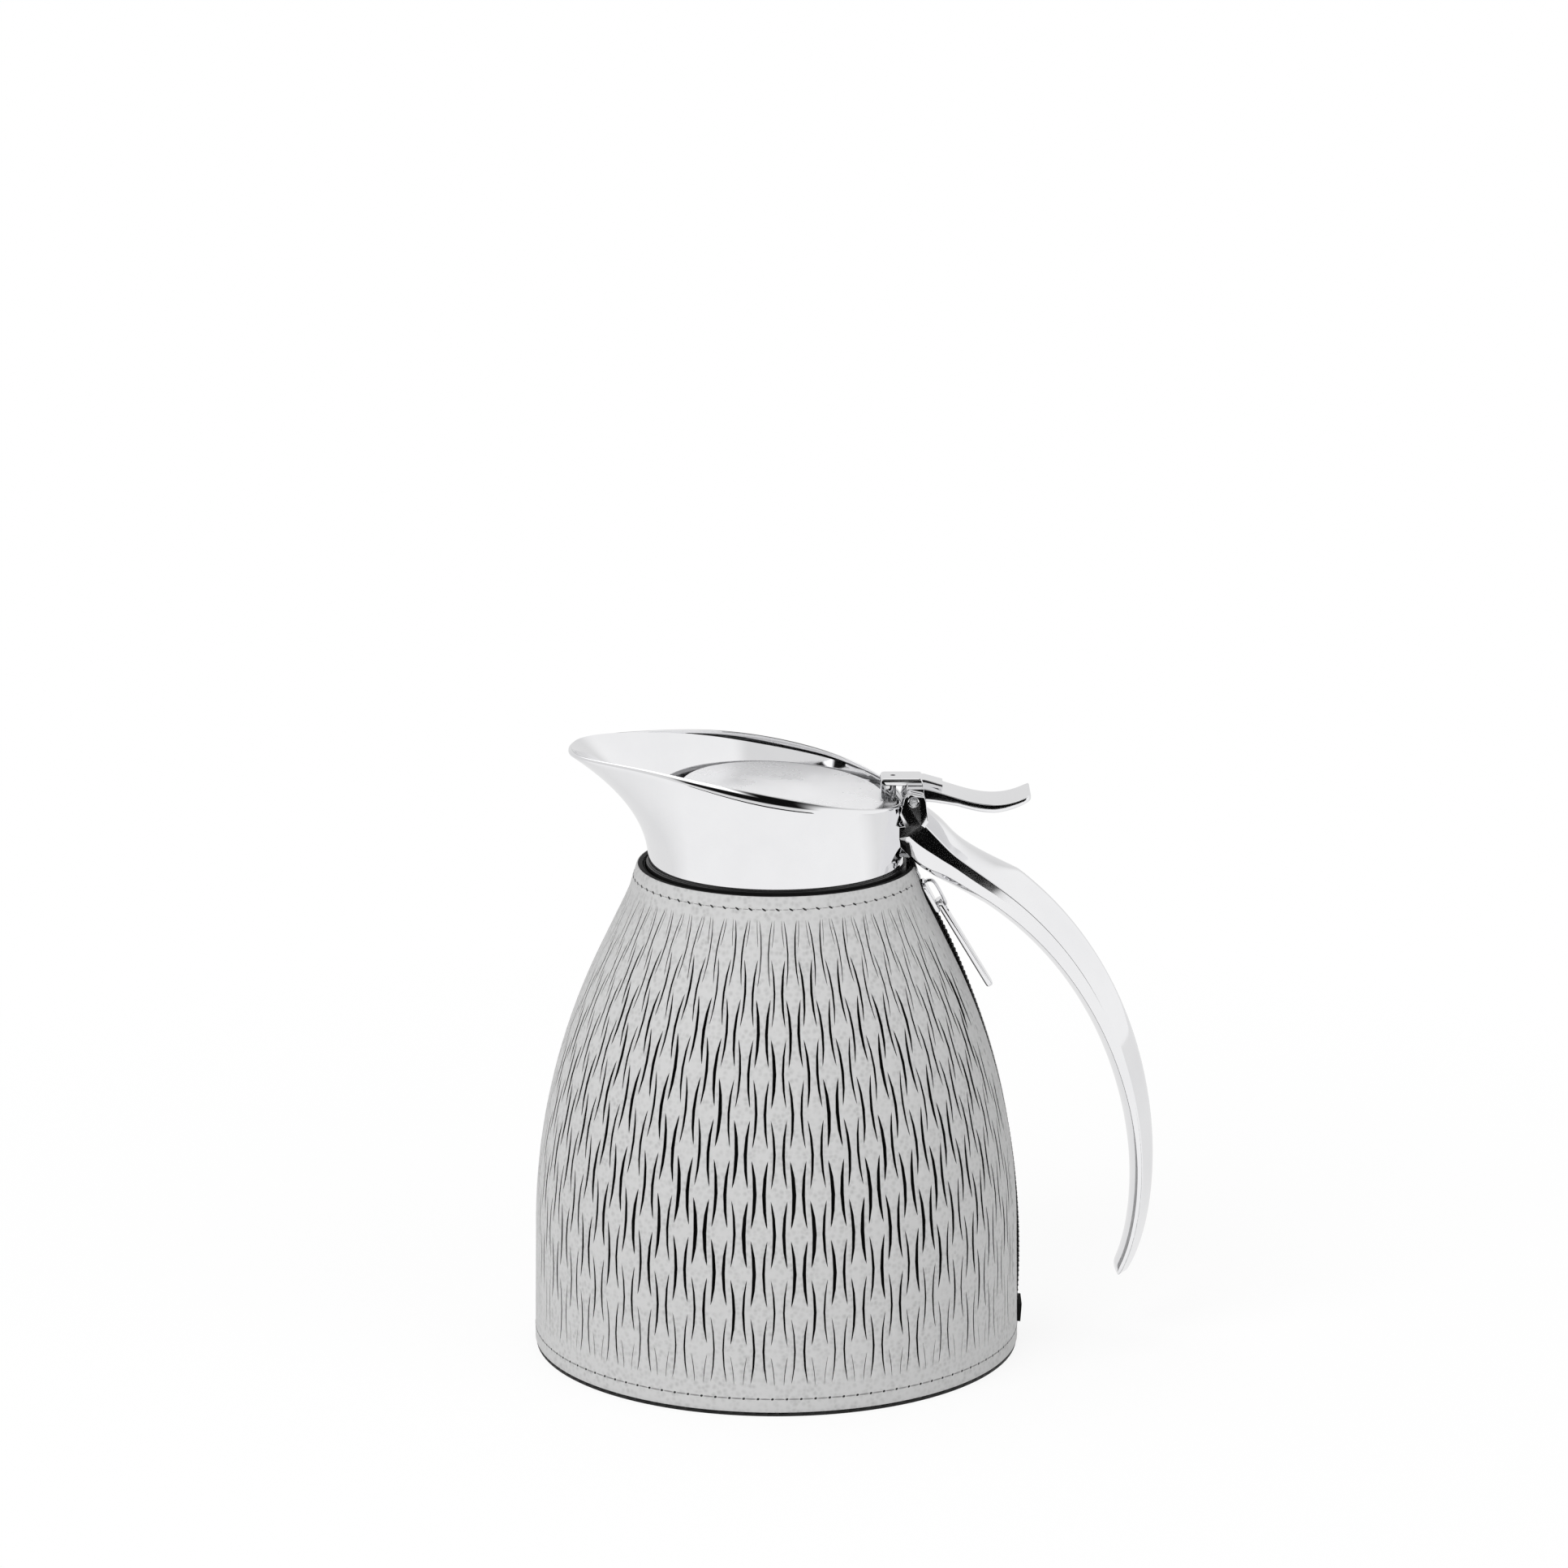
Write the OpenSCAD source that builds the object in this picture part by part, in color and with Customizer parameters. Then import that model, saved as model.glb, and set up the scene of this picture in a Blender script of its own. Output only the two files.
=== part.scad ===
// Insulated coffee pot: a vacuum flask in a zipped leather cover, with a chrome
// pouring collar, a chrome handle and a sprung lid worked by a thumb lever.
// Millimetres. +Z is up, the spout points to -X, the handle and zip lie on +X.
// The origin is the centre of the base, on the surface that the pot stands on.

/* [Cover] */
// Outer diameter of the cover at the base
base_d = 125; // [120:1:130]
// Height of the cover's top edge
cover_h = 126.7; // [126:0.1:127.4]
// How far the cover's top edge stands out from the collar
top_edge_out = 2.9; // [2.6:0.1:3.4]
// Thickness of the leather
leather_t = 1.4; // [1:0.1:1.6]
// Thickness of the lining inside the leather
lining_t = 0.8; // [0.5:0.1:1]
// Thickness of the base disc
disc_t = 1.0; // [0.8:0.1:1.4]

/* [Zip] */
// Width of the slot in the leather that the zip closes
zip_slot_w = 9; // [8:0.5:10]
// Width of the tape hidden under the leather on each side
zip_hem_w = 9; // [6:1:12]
// Width of one row of coil teeth
coil_w = 1.5; // [1.2:0.1:1.8]
// Height of the coil teeth over the tape
coil_h = 0.9; // [0.7:0.1:1]
// Length of the slider
slider_l = 9; // [8:0.5:10]
// Length of the puller from its pivot to its tip
puller_l = 26; // [20:1:28]
// Width of the puller
puller_w = 5.2; // [5:0.2:6]

/* [Flask] */
// Gap between the cover's outside and the flask's outside
shell_inset = 3.6; // [3.5:0.1:4]
// Wall of the flask's outer shell
shell_t = 1.8; // [1.4:0.1:2.2]
// Gap between the cover's outside and the liner's outer glass
liner_inset = 7.5; // [7:0.1:8]
// Wall of each glass layer
glass_t = 1.4; // [1.2:0.1:1.6]
// Vacuum gap between the two glass layers
vacuum_gap = 3.0; // [2.6:0.1:3.2]
// Room between the collar's outside and the liner's mouth
neck_room = 14.6; // [14.4:0.1:14.8]

/* [Collar] */
// Outer radius of the collar at its foot
collar_r = 32.6; // [32.4:0.1:32.8]
// Sideways flare of the collar under its rolled rim
side_flare = 1.8; // [1.5:0.1:2.2]
// Reach of the spout beyond the flare
spout_reach = 18.2; // [17:0.2:19]
// Height of the spout's tip over the collar's foot
spout_h = 29.6; // [28:0.2:31]
// Fall of the rim from the spout to the hinge
rim_fall = 13.6; // [13:0.1:14]
// Wall of the collar
collar_t = 1.4; // [1.2:0.1:1.4]

/* [Hinge] */
// Radius of the hinge pin
pin_r = 1.0; // [0.9:0.05:1.1]
// Distance from the collar's outside to the pin
pin_out = 2.05; // [2:0.05:2.4]
// Height of the pin over the collar's foot
pin_h = 17.45; // [17.3:0.05:17.8]
// Running clearance round the pin
pin_gap = 0.05; // [0.02:0.01:0.08]
// Width over the two ears
ears_w = 20.4; // [20:0.2:21]
// Thickness of each ear
ear_t = 2.6; // [2.4:0.1:2.8]

/* [Lid] */
// Length of the lid plate
lid_l = 52; // [50:0.5:52]
// Gap between the lid plate's side edge and the collar's outer radius at its foot
lid_side_gap = 0.9; // [0.8:0.1:2.6]
// Thickness of the lid plate
lid_t = 1.6; // [1.2:0.1:1.8]
// Thickness of the thumb lever
lever_t = 2.2; // [2:0.1:2.6]

/* [Handle] */
// Half width of the handle at the ears
grip_half_w = 10.2; // [10:0.1:10.5]
// Half width of the handle at its free end
tip_half_w = 5.5; // [4.5:0.5:7]
// Thickness of the handle at its root
root_t = 12.2; // [11.5:0.1:12.6]
// Thickness of the handle along its lower half
grip_t = 6.3; // [5.5:0.1:7]

/* [Hidden] */
$fn = 96;

// Cover outline: a nearly straight foot, a long round side, a cone and a top band
base_r = base_d / 2;
cover_top_r = collar_r + top_edge_out;
foot_z = 30;
foot_lean = 0.4;
cone_h = 22.7;
cone_out = 9.65;
band_h = 7.2;
band_out = 2.2;
cone_z = cover_h - cone_h;
cone_r = cover_top_r + cone_out;
band_z = cover_h - band_h;
band_r = cover_top_r + band_out;
side_drop = base_r - foot_lean - cone_r;
side_radius = (pow(cone_z - foot_z, 2) + side_drop * side_drop) / (2 * side_drop);
side_centre_r = base_r - foot_lean - side_radius;
slot_z = 5;

// Zip: its tapes, teeth and slider all follow one circle, seen from the side. It runs
// through three points that lie a little inside the leather's outer face.
zip_depth_low = 1.11;
zip_depth_mid = 1.0;
zip_depth_high = 0.35;
tape_t = 1.4;
zip_low_z = 10;
zip_high_z = cover_h - 2.3;
coil_top_z = cover_h - 4.5;
slider_z = cover_h - 9.3;
zip_mid_z = (slot_z + slider_z) / 2;
zip_a = [cover_r(slot_z) - zip_depth_low, slot_z];
zip_b = [cover_r(zip_mid_z) - zip_depth_mid, zip_mid_z];
zip_c = [cover_r(slider_z) - zip_depth_high, slider_z];
zip_ab = zip_b - zip_a;
zip_ac = zip_c - zip_a;
zip_turn = 2 * (zip_ab[0] * zip_ac[1] - zip_ab[1] * zip_ac[0]);
zip_cx = zip_a[0] + (zip_ac[1] * (zip_ab * zip_ab) - zip_ab[1] * (zip_ac * zip_ac)) / zip_turn;
zip_cz = zip_a[1] + (zip_ab[0] * (zip_ac * zip_ac) - zip_ac[0] * (zip_ab * zip_ab)) / zip_turn;
zip_r = norm(zip_a - [zip_cx, zip_cz]);
slider_gap = 0.1;
slider_w = 7.6;
slider_roof = 0.5;
bail_w = 2.6;
bail_h = 2.5;
bail_t = 0.9;
bar_r = 0.7;
puller_t = 1.6;
puller_lean = 3.6;
loop_gap = 0.3;
loop_arm_w = (puller_w - bail_w) / 2 - loop_gap;
stop_x = 1.1;
stop_half = 0.9;
stop_rise = 0.3;
stop_l = 1.8;
tab_rise = 1.8;
tab_gap = 0.2;

// Flask and its neck
cap_t = 2.4;
cap_ring_h = 6;
liner_floor_z = 8;
pip_r = 4;
support_in = 18;
support_out = 30;
liner_corner = 14;
shoulder_z = cover_h - 18.7;
shoulder_h = 14;
mouth_r = collar_r - neck_room;
shell_top_z = cover_h + 0.5;
collar_z = shell_top_z;
neck_top_z = collar_z + 3.4;
neck_gap = 0.6;
flange_t = 2.2;
flange_fit = 0.2;
seal_t = 1.6;

// Collar and what it holds
spout_z = collar_z + spout_h;
collar_floor_t = 1.6;
flare_power = 2.1;
rim_power = 2;
spout_angle = 25.8;
spout_power = 2.9;
flare_start = 20;
flare_end = 72;
roll_base = 0.75;
roll_side = 1.85;
roll_angle = 90;
roll_spread = 40;
roll_rise = 1.1;
roll_steps = 3;
lip_in = 0.1;
lip_low = 1.1;
collar_sides = 96;
collar_rings = 9;
neck_outer_r = mouth_r + 2 * glass_t + 1.2;
ring_r = neck_outer_r + neck_gap;
ring_wall = 2.1;
ring_room = 4.8;
ring_flange_r = collar_r - ring_room;
ring_top_z = neck_top_z + seal_t;
ring_fit = 0.1;
insert_r = collar_r - collar_t - 0.08;
insert_h = 5;
seat_r = mouth_r - 0.5;
seat_w = 4;
seat_h = 3;
seat_top_z = ring_top_z + insert_h - 0.4;

// Pin, and the points of the handle's outline round it and round the collar, seen from
// the side. The handle's crest is two curves, from the ears to the bend and to its tip.
pin_x = collar_r + pin_out;
pin_z = collar_z + pin_h;
function by_pin(list) = [for (p = list) [pin_x + p[0], pin_z + p[1]]];
function by_collar(list) = [for (p = list) [collar_r + p[0], collar_z + p[1]]];
crest_start = [3.65, -3.85];
bend = [29.1, -2.2];
root_pulls = [[14.1, 8], [8.7, 6.9]];
grip_pull = [40.9, -34.9];
low_pull = [38.9, 31.9];
grip_end = [27.4, 16.5];
crest_root = concat(by_pin([crest_start]), by_collar(root_pulls), by_collar([bend]));
crest_grip = concat(by_collar([bend]), [[base_r + grip_pull[0], collar_z + grip_pull[1]],
    [base_r + low_pull[0], low_pull[1]], [base_r + grip_end[0], grip_end[1]]]);
root_steps = 8;
grip_steps = 22;
crown_steps = 8;
root_crown = 3.4;
bend_crown = 5.2;
low_crown = 4.6;
root_bevel = 3;
low_bevel = 0.9;
bevel_gap = 0.3;
end_t = 3.4;
end_wall = 0.8;
ear_low = [[-3.45, -3.25]];
ear_side = [[-2.75, -1.05], [-2.25, 1.15], [-1.05, 2.35], [2.65, 1.55], [3.15, 0.25]];
ear_back = [[3.45, -3.25]];
ear_outline = by_pin(concat(ear_low, ear_side, ear_back));
root_in = [[-0.7, 3.2], [-2, 3.2]];
root_out = [[4.4, 9.9], [0.1, 3.6]];
root_outline = concat(by_collar(root_in), [[collar_r + root_in[1][0], pin_z + ear_low[0][1]]],
    by_pin(ear_back), by_pin([crest_start]), by_collar(root_out));
recess_r = 1.45;
recess_t = 0.4;
screw_z = collar_z + 3.3;
screw_y = 5;
screw_r = 1.25;
screw_head_r = 1.5;
screw_head_t = 1.1;
screw_l = 6;
screw_gap = 0.05;

// Lid, lever and bridge
hub_r = 2.1;
ear_gap = 0.15;
hub_w = ears_w - 2 * (ear_t + ear_gap);
spring_bay_w = 6.2;
lever_line = [[2.35, 2.95], [10.85, 1.55], [19.35, -4.65], [29.75, 1.35]];
lever_top = by_pin(lever_line);
lever_steps = 12;
lever_root_t = 3.4;
lever_tip_t = 1.5;
hub_front = 1.6;
hub_back = 2.75;
hub_drop = 0.4;
bay_gap = 0.15;
bay_back = 3.2;
bridge_w = 8.5;
bridge_t = 1.85;
bridge_x = pin_x - 8.25;
bridge_end_x = pin_x + 2.55;
bridge_z = lever_top[0][1];
bridge_slant = 0.6;
bridge_nose = 0.3;
tongue_x = pin_x + 7.55;
tongue_w = 7;
tongue_t = 1.5;
tongue_tip = 0.2;
hook_t = 1.2;
hook_low_z = pin_z - 2.5;
knuckle_r = 1.3;
knuckle_z = pin_z + 0.6;
knuckle_in = 0.6;
lid_w = 2 * (collar_r - lid_side_gap);
lid_x = pin_x - 7.05 - lid_l / 2;
lid_z = pin_z + 0.95;
lid_slope = 3.8;
lid_sides = 72;
lug_w = 8;
lug_l = 8;
lug_x = pin_x - 4.05;
lug_t = 1.6;
lug_z = pin_z - 3.25;
post_x = pin_x - 5.05;
post_r = 0.8;
post_head_r = 1.4;
post_head_t = 0.7;
post_foot_t = 0.8;
stopper_r = seat_r + seat_w + 1;
stopper_top_z = lid_z - 3.4;
stopper_neck_r = 10;
stopper_neck_h = 6;
plug_gap = 0.6;
plug_z = ring_top_z + 1.3;
seal_gap = 0.35;
seal_h = 4.4;
plug_low_h = seal_h + 1;
boss_r = 4;
boss_z = lid_z - 6.1;
lid_screw_r = 3;
lid_screw_t = 1.7;
lid_screw_in = 0.3;
lid_screw_up = 3.9;
wire_r = 0.3;
spring_r = 1.75;
spring_turns = 5;
spring_pitch = 0.9;
spring_leg = 2.2;
spring_sides = 8;
turn_steps = 14;

function mix(a, b, t) = a + (b - a) * t;
function clamp01(t) = max(0, min(1, t));
function ease(t) = let (u = clamp01(t)) u * u * (3 - 2 * u);
function curve(p, t) =
    pow(1 - t, 3) * p[0] + 3 * pow(1 - t, 2) * t * p[1] + 3 * (1 - t) * t * t * p[2] + t * t * t * p[3];
function slope(p, t) =
    pow(1 - t, 2) * (p[1] - p[0]) + 2 * (1 - t) * t * (p[2] - p[1]) + t * t * (p[3] - p[2]);

// Outer radius of the cover at a height
function side_r(z) = side_centre_r + sqrt(side_radius * side_radius - pow(z - foot_z, 2));
function cover_r(z) =
    z < foot_z ? base_r - foot_lean * z / foot_z :
    z < cone_z ? side_r(z) :
    z < band_z ? mix(side_r(cone_z), band_r, (z - cone_z) / (band_z - cone_z)) :
    mix(band_r, cover_top_r, (z - band_z) / (cover_h - band_z));

// Heights between two levels at which the outline bends
function levels(low, high) = concat(
    [low],
    [for (z = [foot_z : (cone_z - foot_z) / 12 : cone_z - 1]) if (z > low + 0.5 && z < high - 0.5) z],
    [for (z = [cone_z, band_z]) if (z > low + 0.5 && z < high - 0.5) z],
    [high]);
function wall(low, high, inset) = [for (z = levels(low, high)) [cover_r(z) - inset, z]];
function reversed(list) = [for (i = [len(list) - 1 : -1 : 0]) list[i]];

// A layer that follows the cover's outline between two insets
module layer(low, high, outer, inner)
    rotate_extrude()
        polygon(concat(wall(low, high, outer), reversed(wall(low, high, inner))));

// Keeps the strip of a shape on +X that lies between two widths
module strip(y0, y1, z0, z1)
    intersection() {
        children();
        translate([0, y0, z0]) cube([base_d, y1 - y0, z1 - z0]);
    }

// A solid through closed rings of points; joined bends the last ring back to the first
module loft(rings, joined = false) {
    n = len(rings[0]);
    m = len(rings);
    walls = [for (i = [0 : m - (joined ? 1 : 2)]) for (j = [0 : n - 1])
        let (a = i * n, b = (i + 1) % m * n, k = (j + 1) % n)
        each [[a + j, b + j, b + k], [a + j, b + k, a + k]]];
    ends = joined ? [] : [[for (j = [0 : n - 1]) j], [for (j = [n - 1 : -1 : 0]) (m - 1) * n + j]];
    polyhedron([for (r = rings) each r], concat(walls, ends));
}

// A piece of the zip's circle: radii over the tape's front, heights and widths
function zip_angle(z) = asin((z - zip_cz) / zip_r);
module arc_band(low, high, z0, z1, y0, y1)
    translate([zip_cx, 0, zip_cz]) rotate([90, 0, 0]) rotate([0, 0, zip_angle(z0)])
        rotate_extrude(angle = zip_angle(z1) - zip_angle(z0))
            translate([zip_r + low, -y1]) square([high - low, y1 - y0]);

module leather_wrap()
    color([0.72, 0.72, 0.72])
        difference() {
            layer(disc_t, cover_h, 0, leather_t);
            translate([0, -zip_slot_w / 2, slot_z]) cube([base_d, zip_slot_w, cover_h]);
        }

module cover_lining()
    color([0.05, 0.05, 0.05])
        difference() {
            layer(disc_t, cover_h - 0.4, leather_t, leather_t + lining_t);
            translate([0, -zip_slot_w / 2 - zip_hem_w, slot_z - 2])
                cube([base_d, zip_slot_w + 2 * zip_hem_w, cover_h]);
        }

module cover_base()
    color([0.06, 0.06, 0.06]) cylinder(h = disc_t, r = base_r - 0.3);

// One tape: a hem under the leather and a strip in the slot
module zip_tape(y0, y1, hem0, hem1)
    color([0.05, 0.05, 0.05]) {
        arc_band(-tape_t, 0, slot_z + 0.2, zip_high_z, y0, y1);
        strip(hem0, hem1, slot_z - 2, zip_high_z)
            layer(slot_z - 2, zip_high_z, leather_t, leather_t + lining_t);
    }

tape_start = 0.08;
tape_end = zip_slot_w / 2;
hem_start = tape_end - 0.5;
hem_end = tape_end + zip_hem_w;
module zip_tape_front() zip_tape(-tape_end, -tape_start, -hem_end, -hem_start);
module zip_tape_back() zip_tape(tape_start, tape_end, hem_start, hem_end);

module zip_coil(y0, y1)
    color([0.08, 0.08, 0.08]) arc_band(0, coil_h, zip_low_z, coil_top_z, y0, y1);
module zip_coil_front() zip_coil(-tape_start - coil_w, -tape_start);
module zip_coil_back() zip_coil(tape_start, tape_start + coil_w);

// A small metal clamp at the head of each tooth row
module zip_top_stops()
    color([0.75, 0.75, 0.76])
        for (side = [-1, 1])
            arc_band(0, coil_h + stop_rise, coil_top_z, coil_top_z + stop_l,
                side * stop_x - stop_half, side * stop_x + stop_half);

// The tape's doubled end, which stops the slider
module zip_bottom_tab()
    color([0.05, 0.05, 0.05]) arc_band(0, tab_rise, slot_z + 0.3, zip_low_z, tab_gap - tape_end, tape_end - tab_gap);

// Slider: a body that straddles the teeth, and a bail for the puller
slider_half = asin(slider_l / 2 / zip_r);
slider_a = zip_angle(slider_z);
body_top = slider_gap + coil_h + slider_gap + slider_roof;
bar_out = body_top + bar_r + 0.1;
bail_top = body_top + bail_h;
module slider_sector(low, high, a0, a1, w)
    translate([zip_cx, 0, zip_cz]) rotate([90, 0, 0]) rotate([0, 0, a0])
        rotate_extrude(angle = a1 - a0)
            translate([zip_r + low, -w / 2]) square([high - low, w]);
bail_low = slider_a - slider_half + 0.08;
bail_high = slider_a + slider_half - 0.25;
bail_leg = 0.3;
module zip_slider()
    color([0.8, 0.8, 0.82])
        difference() {
            union() {
                slider_sector(slider_gap, body_top, slider_a - slider_half, slider_a + slider_half, slider_w);
                slider_sector(body_top - 0.1, bail_top, bail_low, bail_high, bail_w);
            }
            slider_sector(-1, slider_gap + coil_h + slider_gap, slider_a - slider_half - 1,
                slider_a + slider_half + 1, 2 * (coil_w + tape_start + slider_gap));
            slider_sector(body_top, bail_top - bail_t, bail_low + bail_leg, bail_high - bail_leg, bail_w + 1);
        }

// Puller: a bar through the bail, two arms round its leg and a flat tab
bar_a = bail_low + bail_leg + 0.26;
bar_x = zip_cx + (zip_r + bar_out) * cos(bar_a);
bar_z = zip_cz + (zip_r + bar_out) * sin(bar_a);
puller_a = bar_a - 90 + puller_lean;
tab_start = 3.4;
module zip_puller()
    color([0.8, 0.8, 0.82])
        translate([bar_x, 0, bar_z]) rotate([0, -puller_a, 0]) {
            rotate([90, 0, 0]) cylinder(h = puller_w - 0.4, r = bar_r, center = true);
            for (side = [-1, 1])
                translate([0, side * (puller_w - loop_arm_w) / 2 - loop_arm_w / 2, -bar_r])
                    cube([tab_start + 0.5, loop_arm_w, 2 * bar_r]);
            translate([tab_start, 0, -puller_t / 2])
                linear_extrude(puller_t) polygon([
                    [0, -puller_w / 2], [puller_l - tab_start - 1.5, -puller_w / 2 + 0.4],
                    [puller_l - tab_start, -puller_w / 2 + 1.6], [puller_l - tab_start, puller_w / 2 - 1.6],
                    [puller_l - tab_start - 1.5, puller_w / 2 - 0.4], [0, puller_w / 2]]);
        }

// Flask shell: the wall and the neck flange that the collar stands on
shell_low_z = disc_t + cap_t;
flange_low_z = shell_top_z - flange_t;
flange_r = cover_top_r - leather_t - lining_t - flange_fit;
shell_neck_r = ring_r + ring_wall;
module flask_shell()
    color([0.12, 0.12, 0.12])
        rotate_extrude()
            polygon(concat(
                wall(shell_low_z, flange_low_z - 0.6, shell_inset),
                [[flange_r, flange_low_z], [flange_r, shell_top_z],
                 [shell_neck_r, shell_top_z], [shell_neck_r, shell_top_z - flange_t - 1.6]],
                reversed(wall(shell_low_z, flange_low_z - 3.6, shell_inset + shell_t))));

module flask_base_cap()
    color([0.1, 0.1, 0.1]) {
        translate([0, 0, disc_t]) cylinder(h = cap_t, r = cover_r(shell_low_z) - shell_inset);
        translate([0, 0, shell_low_z])
            difference() {
                cylinder(h = cap_ring_h, r = cover_r(shell_low_z + cap_ring_h) - shell_inset - shell_t);
                translate([0, 0, -1])
                    cylinder(h = cap_ring_h + 2, r = cover_r(shell_low_z) - shell_inset - 2 * shell_t);
            }
    }

// Half outline of one glass layer: flat floor, round corner, side, shoulder and neck
function glass_outline(inset, floor_z, corner, neck_r, top_z) = let (
    corner_r = cover_r(floor_z + corner) - inset - corner,
    shoulder_r = cover_r(shoulder_z) - inset)
    concat(
        [[0, floor_z]],
        [for (a = [0 : 15 : 90]) [corner_r + corner * sin(a), floor_z + corner * (1 - cos(a))]],
        [for (z = [foot_z : (shoulder_z - foot_z) / 10 : shoulder_z - 1]) [cover_r(z) - inset, z]],
        [for (t = [0 : 0.125 : 1])
            [mix(shoulder_r, neck_r, (1 - cos(180 * t)) / 2), shoulder_z + shoulder_h * t]],
        [[neck_r, top_z], [0, top_z]]);

module glass_layer(inset, floor_z, corner, neck_r, top_z)
    rotate_extrude()
        difference() {
            polygon(glass_outline(inset, floor_z, corner, neck_r, top_z));
            polygon(glass_outline(inset + glass_t, floor_z + glass_t, corner - glass_t,
                neck_r - glass_t, top_z + 1));
        }

module liner_outer()
    color([0.8, 0.82, 0.84]) {
        glass_layer(liner_inset, liner_floor_z, liner_corner, neck_outer_r, neck_top_z);
        translate([0, 0, neck_top_z - glass_t])
            difference() {
                cylinder(h = glass_t, r = neck_outer_r);
                translate([0, 0, -1]) cylinder(h = glass_t + 2, r = mouth_r + glass_t);
            }
        translate([0, 0, shell_low_z + 0.6])
            cylinder(h = liner_floor_z - shell_low_z, r1 = 1, r2 = pip_r);
    }

module liner_inner()
    color([0.8, 0.82, 0.84])
        glass_layer(liner_inset + glass_t + vacuum_gap, liner_floor_z + glass_t + vacuum_gap,
            liner_corner - vacuum_gap, mouth_r + glass_t, neck_top_z);

module ring(low, high, inner, outer)
    translate([0, 0, low])
        difference() {
            cylinder(h = high - low, r = outer);
            translate([0, 0, -1]) cylinder(h = high - low + 2, r = inner);
        }

module liner_support()
    color([0.15, 0.15, 0.15]) ring(shell_low_z, liner_floor_z, support_in, support_out);

module liner_mouth_seal()
    color([0.85, 0.85, 0.85]) ring(neck_top_z, ring_top_z, mouth_r, neck_outer_r);

// Threaded ring that draws the collar down on the flask's neck
module neck_ring()
    color([0.6, 0.6, 0.62]) {
        ring(collar_z + collar_floor_t, ring_top_z, ring_r, ring_flange_r);
        ring(collar_z - flange_t - 2, collar_z + collar_floor_t, ring_r, shell_neck_r - ring_fit);
    }

// Collar at an angle from +X: its reach at the widest line, how far the rim rolls in
// and up from there, and the height of the rim
function off_spout(a) = abs(((a % 360) + 360) % 360 - 180);
function rim_reach(a) = let (s = off_spout(a))
    collar_r + (side_flare + spout_reach / (1 + pow(s / spout_angle, spout_power)))
        * ease((180 - s - flare_start) / (flare_end - flare_start));
function roll_in(a) = roll_base + roll_side * exp(-pow((off_spout(a) - roll_angle) / roll_spread, 2));
tip_x = collar_r + side_flare + spout_reach;
function rim_z(a) = let (x = (rim_reach(a) - roll_in(a)) * cos(a))
    spout_z - rim_fall * pow(max(0, (x + tip_x) / (tip_x + collar_r)), rim_power);
function wide_z(a) = rim_z(a) - roll_rise * roll_in(a);
function at_angle(a, r, z) = [r * cos(a), r * sin(a), z];
function collar_point(a, t, inset) =
    at_angle(a, mix(collar_r, rim_reach(a), pow(t, flare_power)) - inset, mix(collar_z, wide_z(a), t));
function roll_point(a, turn) =
    at_angle(a, rim_reach(a) - roll_in(a) * (1 - cos(turn)), wide_z(a) + roll_rise * roll_in(a) * sin(turn));
function lip_point(a, drop) = at_angle(a, rim_reach(a) - roll_in(a) - lip_in, rim_z(a) - drop);
collar_angles = [for (i = [0 : collar_sides - 1]) i * 360 / collar_sides];
function round_ring(r, z) = [for (a = collar_angles) at_angle(a, r, z)];
function collar_ring(t, inset) = [for (a = collar_angles) collar_point(a, t, inset)];
floor_share = 0.1;
module collar()
    color([0.85, 0.85, 0.87])
        difference() {
            loft(concat(
                [for (i = [0 : collar_rings]) collar_ring(i / collar_rings, 0)],
                [for (i = [1 : roll_steps]) [for (a = collar_angles) roll_point(a, 90 * i / roll_steps)]],
                [for (drop = [2 * lip_in, lip_low]) [for (a = collar_angles) lip_point(a, drop)]],
                [for (i = [collar_rings : -1 : 1])
                    collar_ring(mix(floor_share, 1, i / collar_rings), collar_t)],
                [round_ring(collar_r - collar_t, collar_z + collar_floor_t),
                 round_ring(shell_neck_r, collar_z + collar_floor_t),
                 round_ring(shell_neck_r, collar_z)]), joined = true);
            for (y = [-screw_y, screw_y])
                translate([mouth_r, y, screw_z]) rotate([0, 90, 0])
                    cylinder(h = collar_r, r = screw_r + screw_gap);
        }

// Funnel with the seat that the stopper closes
module pour_insert()
    color([0.8, 0.8, 0.82])
        rotate_extrude()
            polygon([
                [seat_r, ring_top_z], [insert_r, ring_top_z], [insert_r, ring_top_z + insert_h],
                [insert_r - 1.2, ring_top_z + insert_h],
                [seat_r + seat_w, seat_top_z], [seat_r, seat_top_z - seat_h]]);

// Section of the handle across its crest: a crowned face, two walls and a bevelled back
function grip_ring(p, d, half_w, crown, bevel, thick) = let (
    n = [d[1], -d[0]] / norm(d),
    back = max(crown + bevel_gap, thick - bevel),
    section = concat(
        [for (i = [0 : crown_steps]) let (a = 90 - 180 * i / crown_steps)
            [half_w * sin(a), crown * pow(sin(a), 2)]],
        [[-half_w, back], [-half_w + bevel, thick], [half_w - bevel, thick], [half_w, back]]))
    [for (s = section) [p[0] + n[0] * s[1], s[0], p[1] + n[1] * s[1]]];
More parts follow.
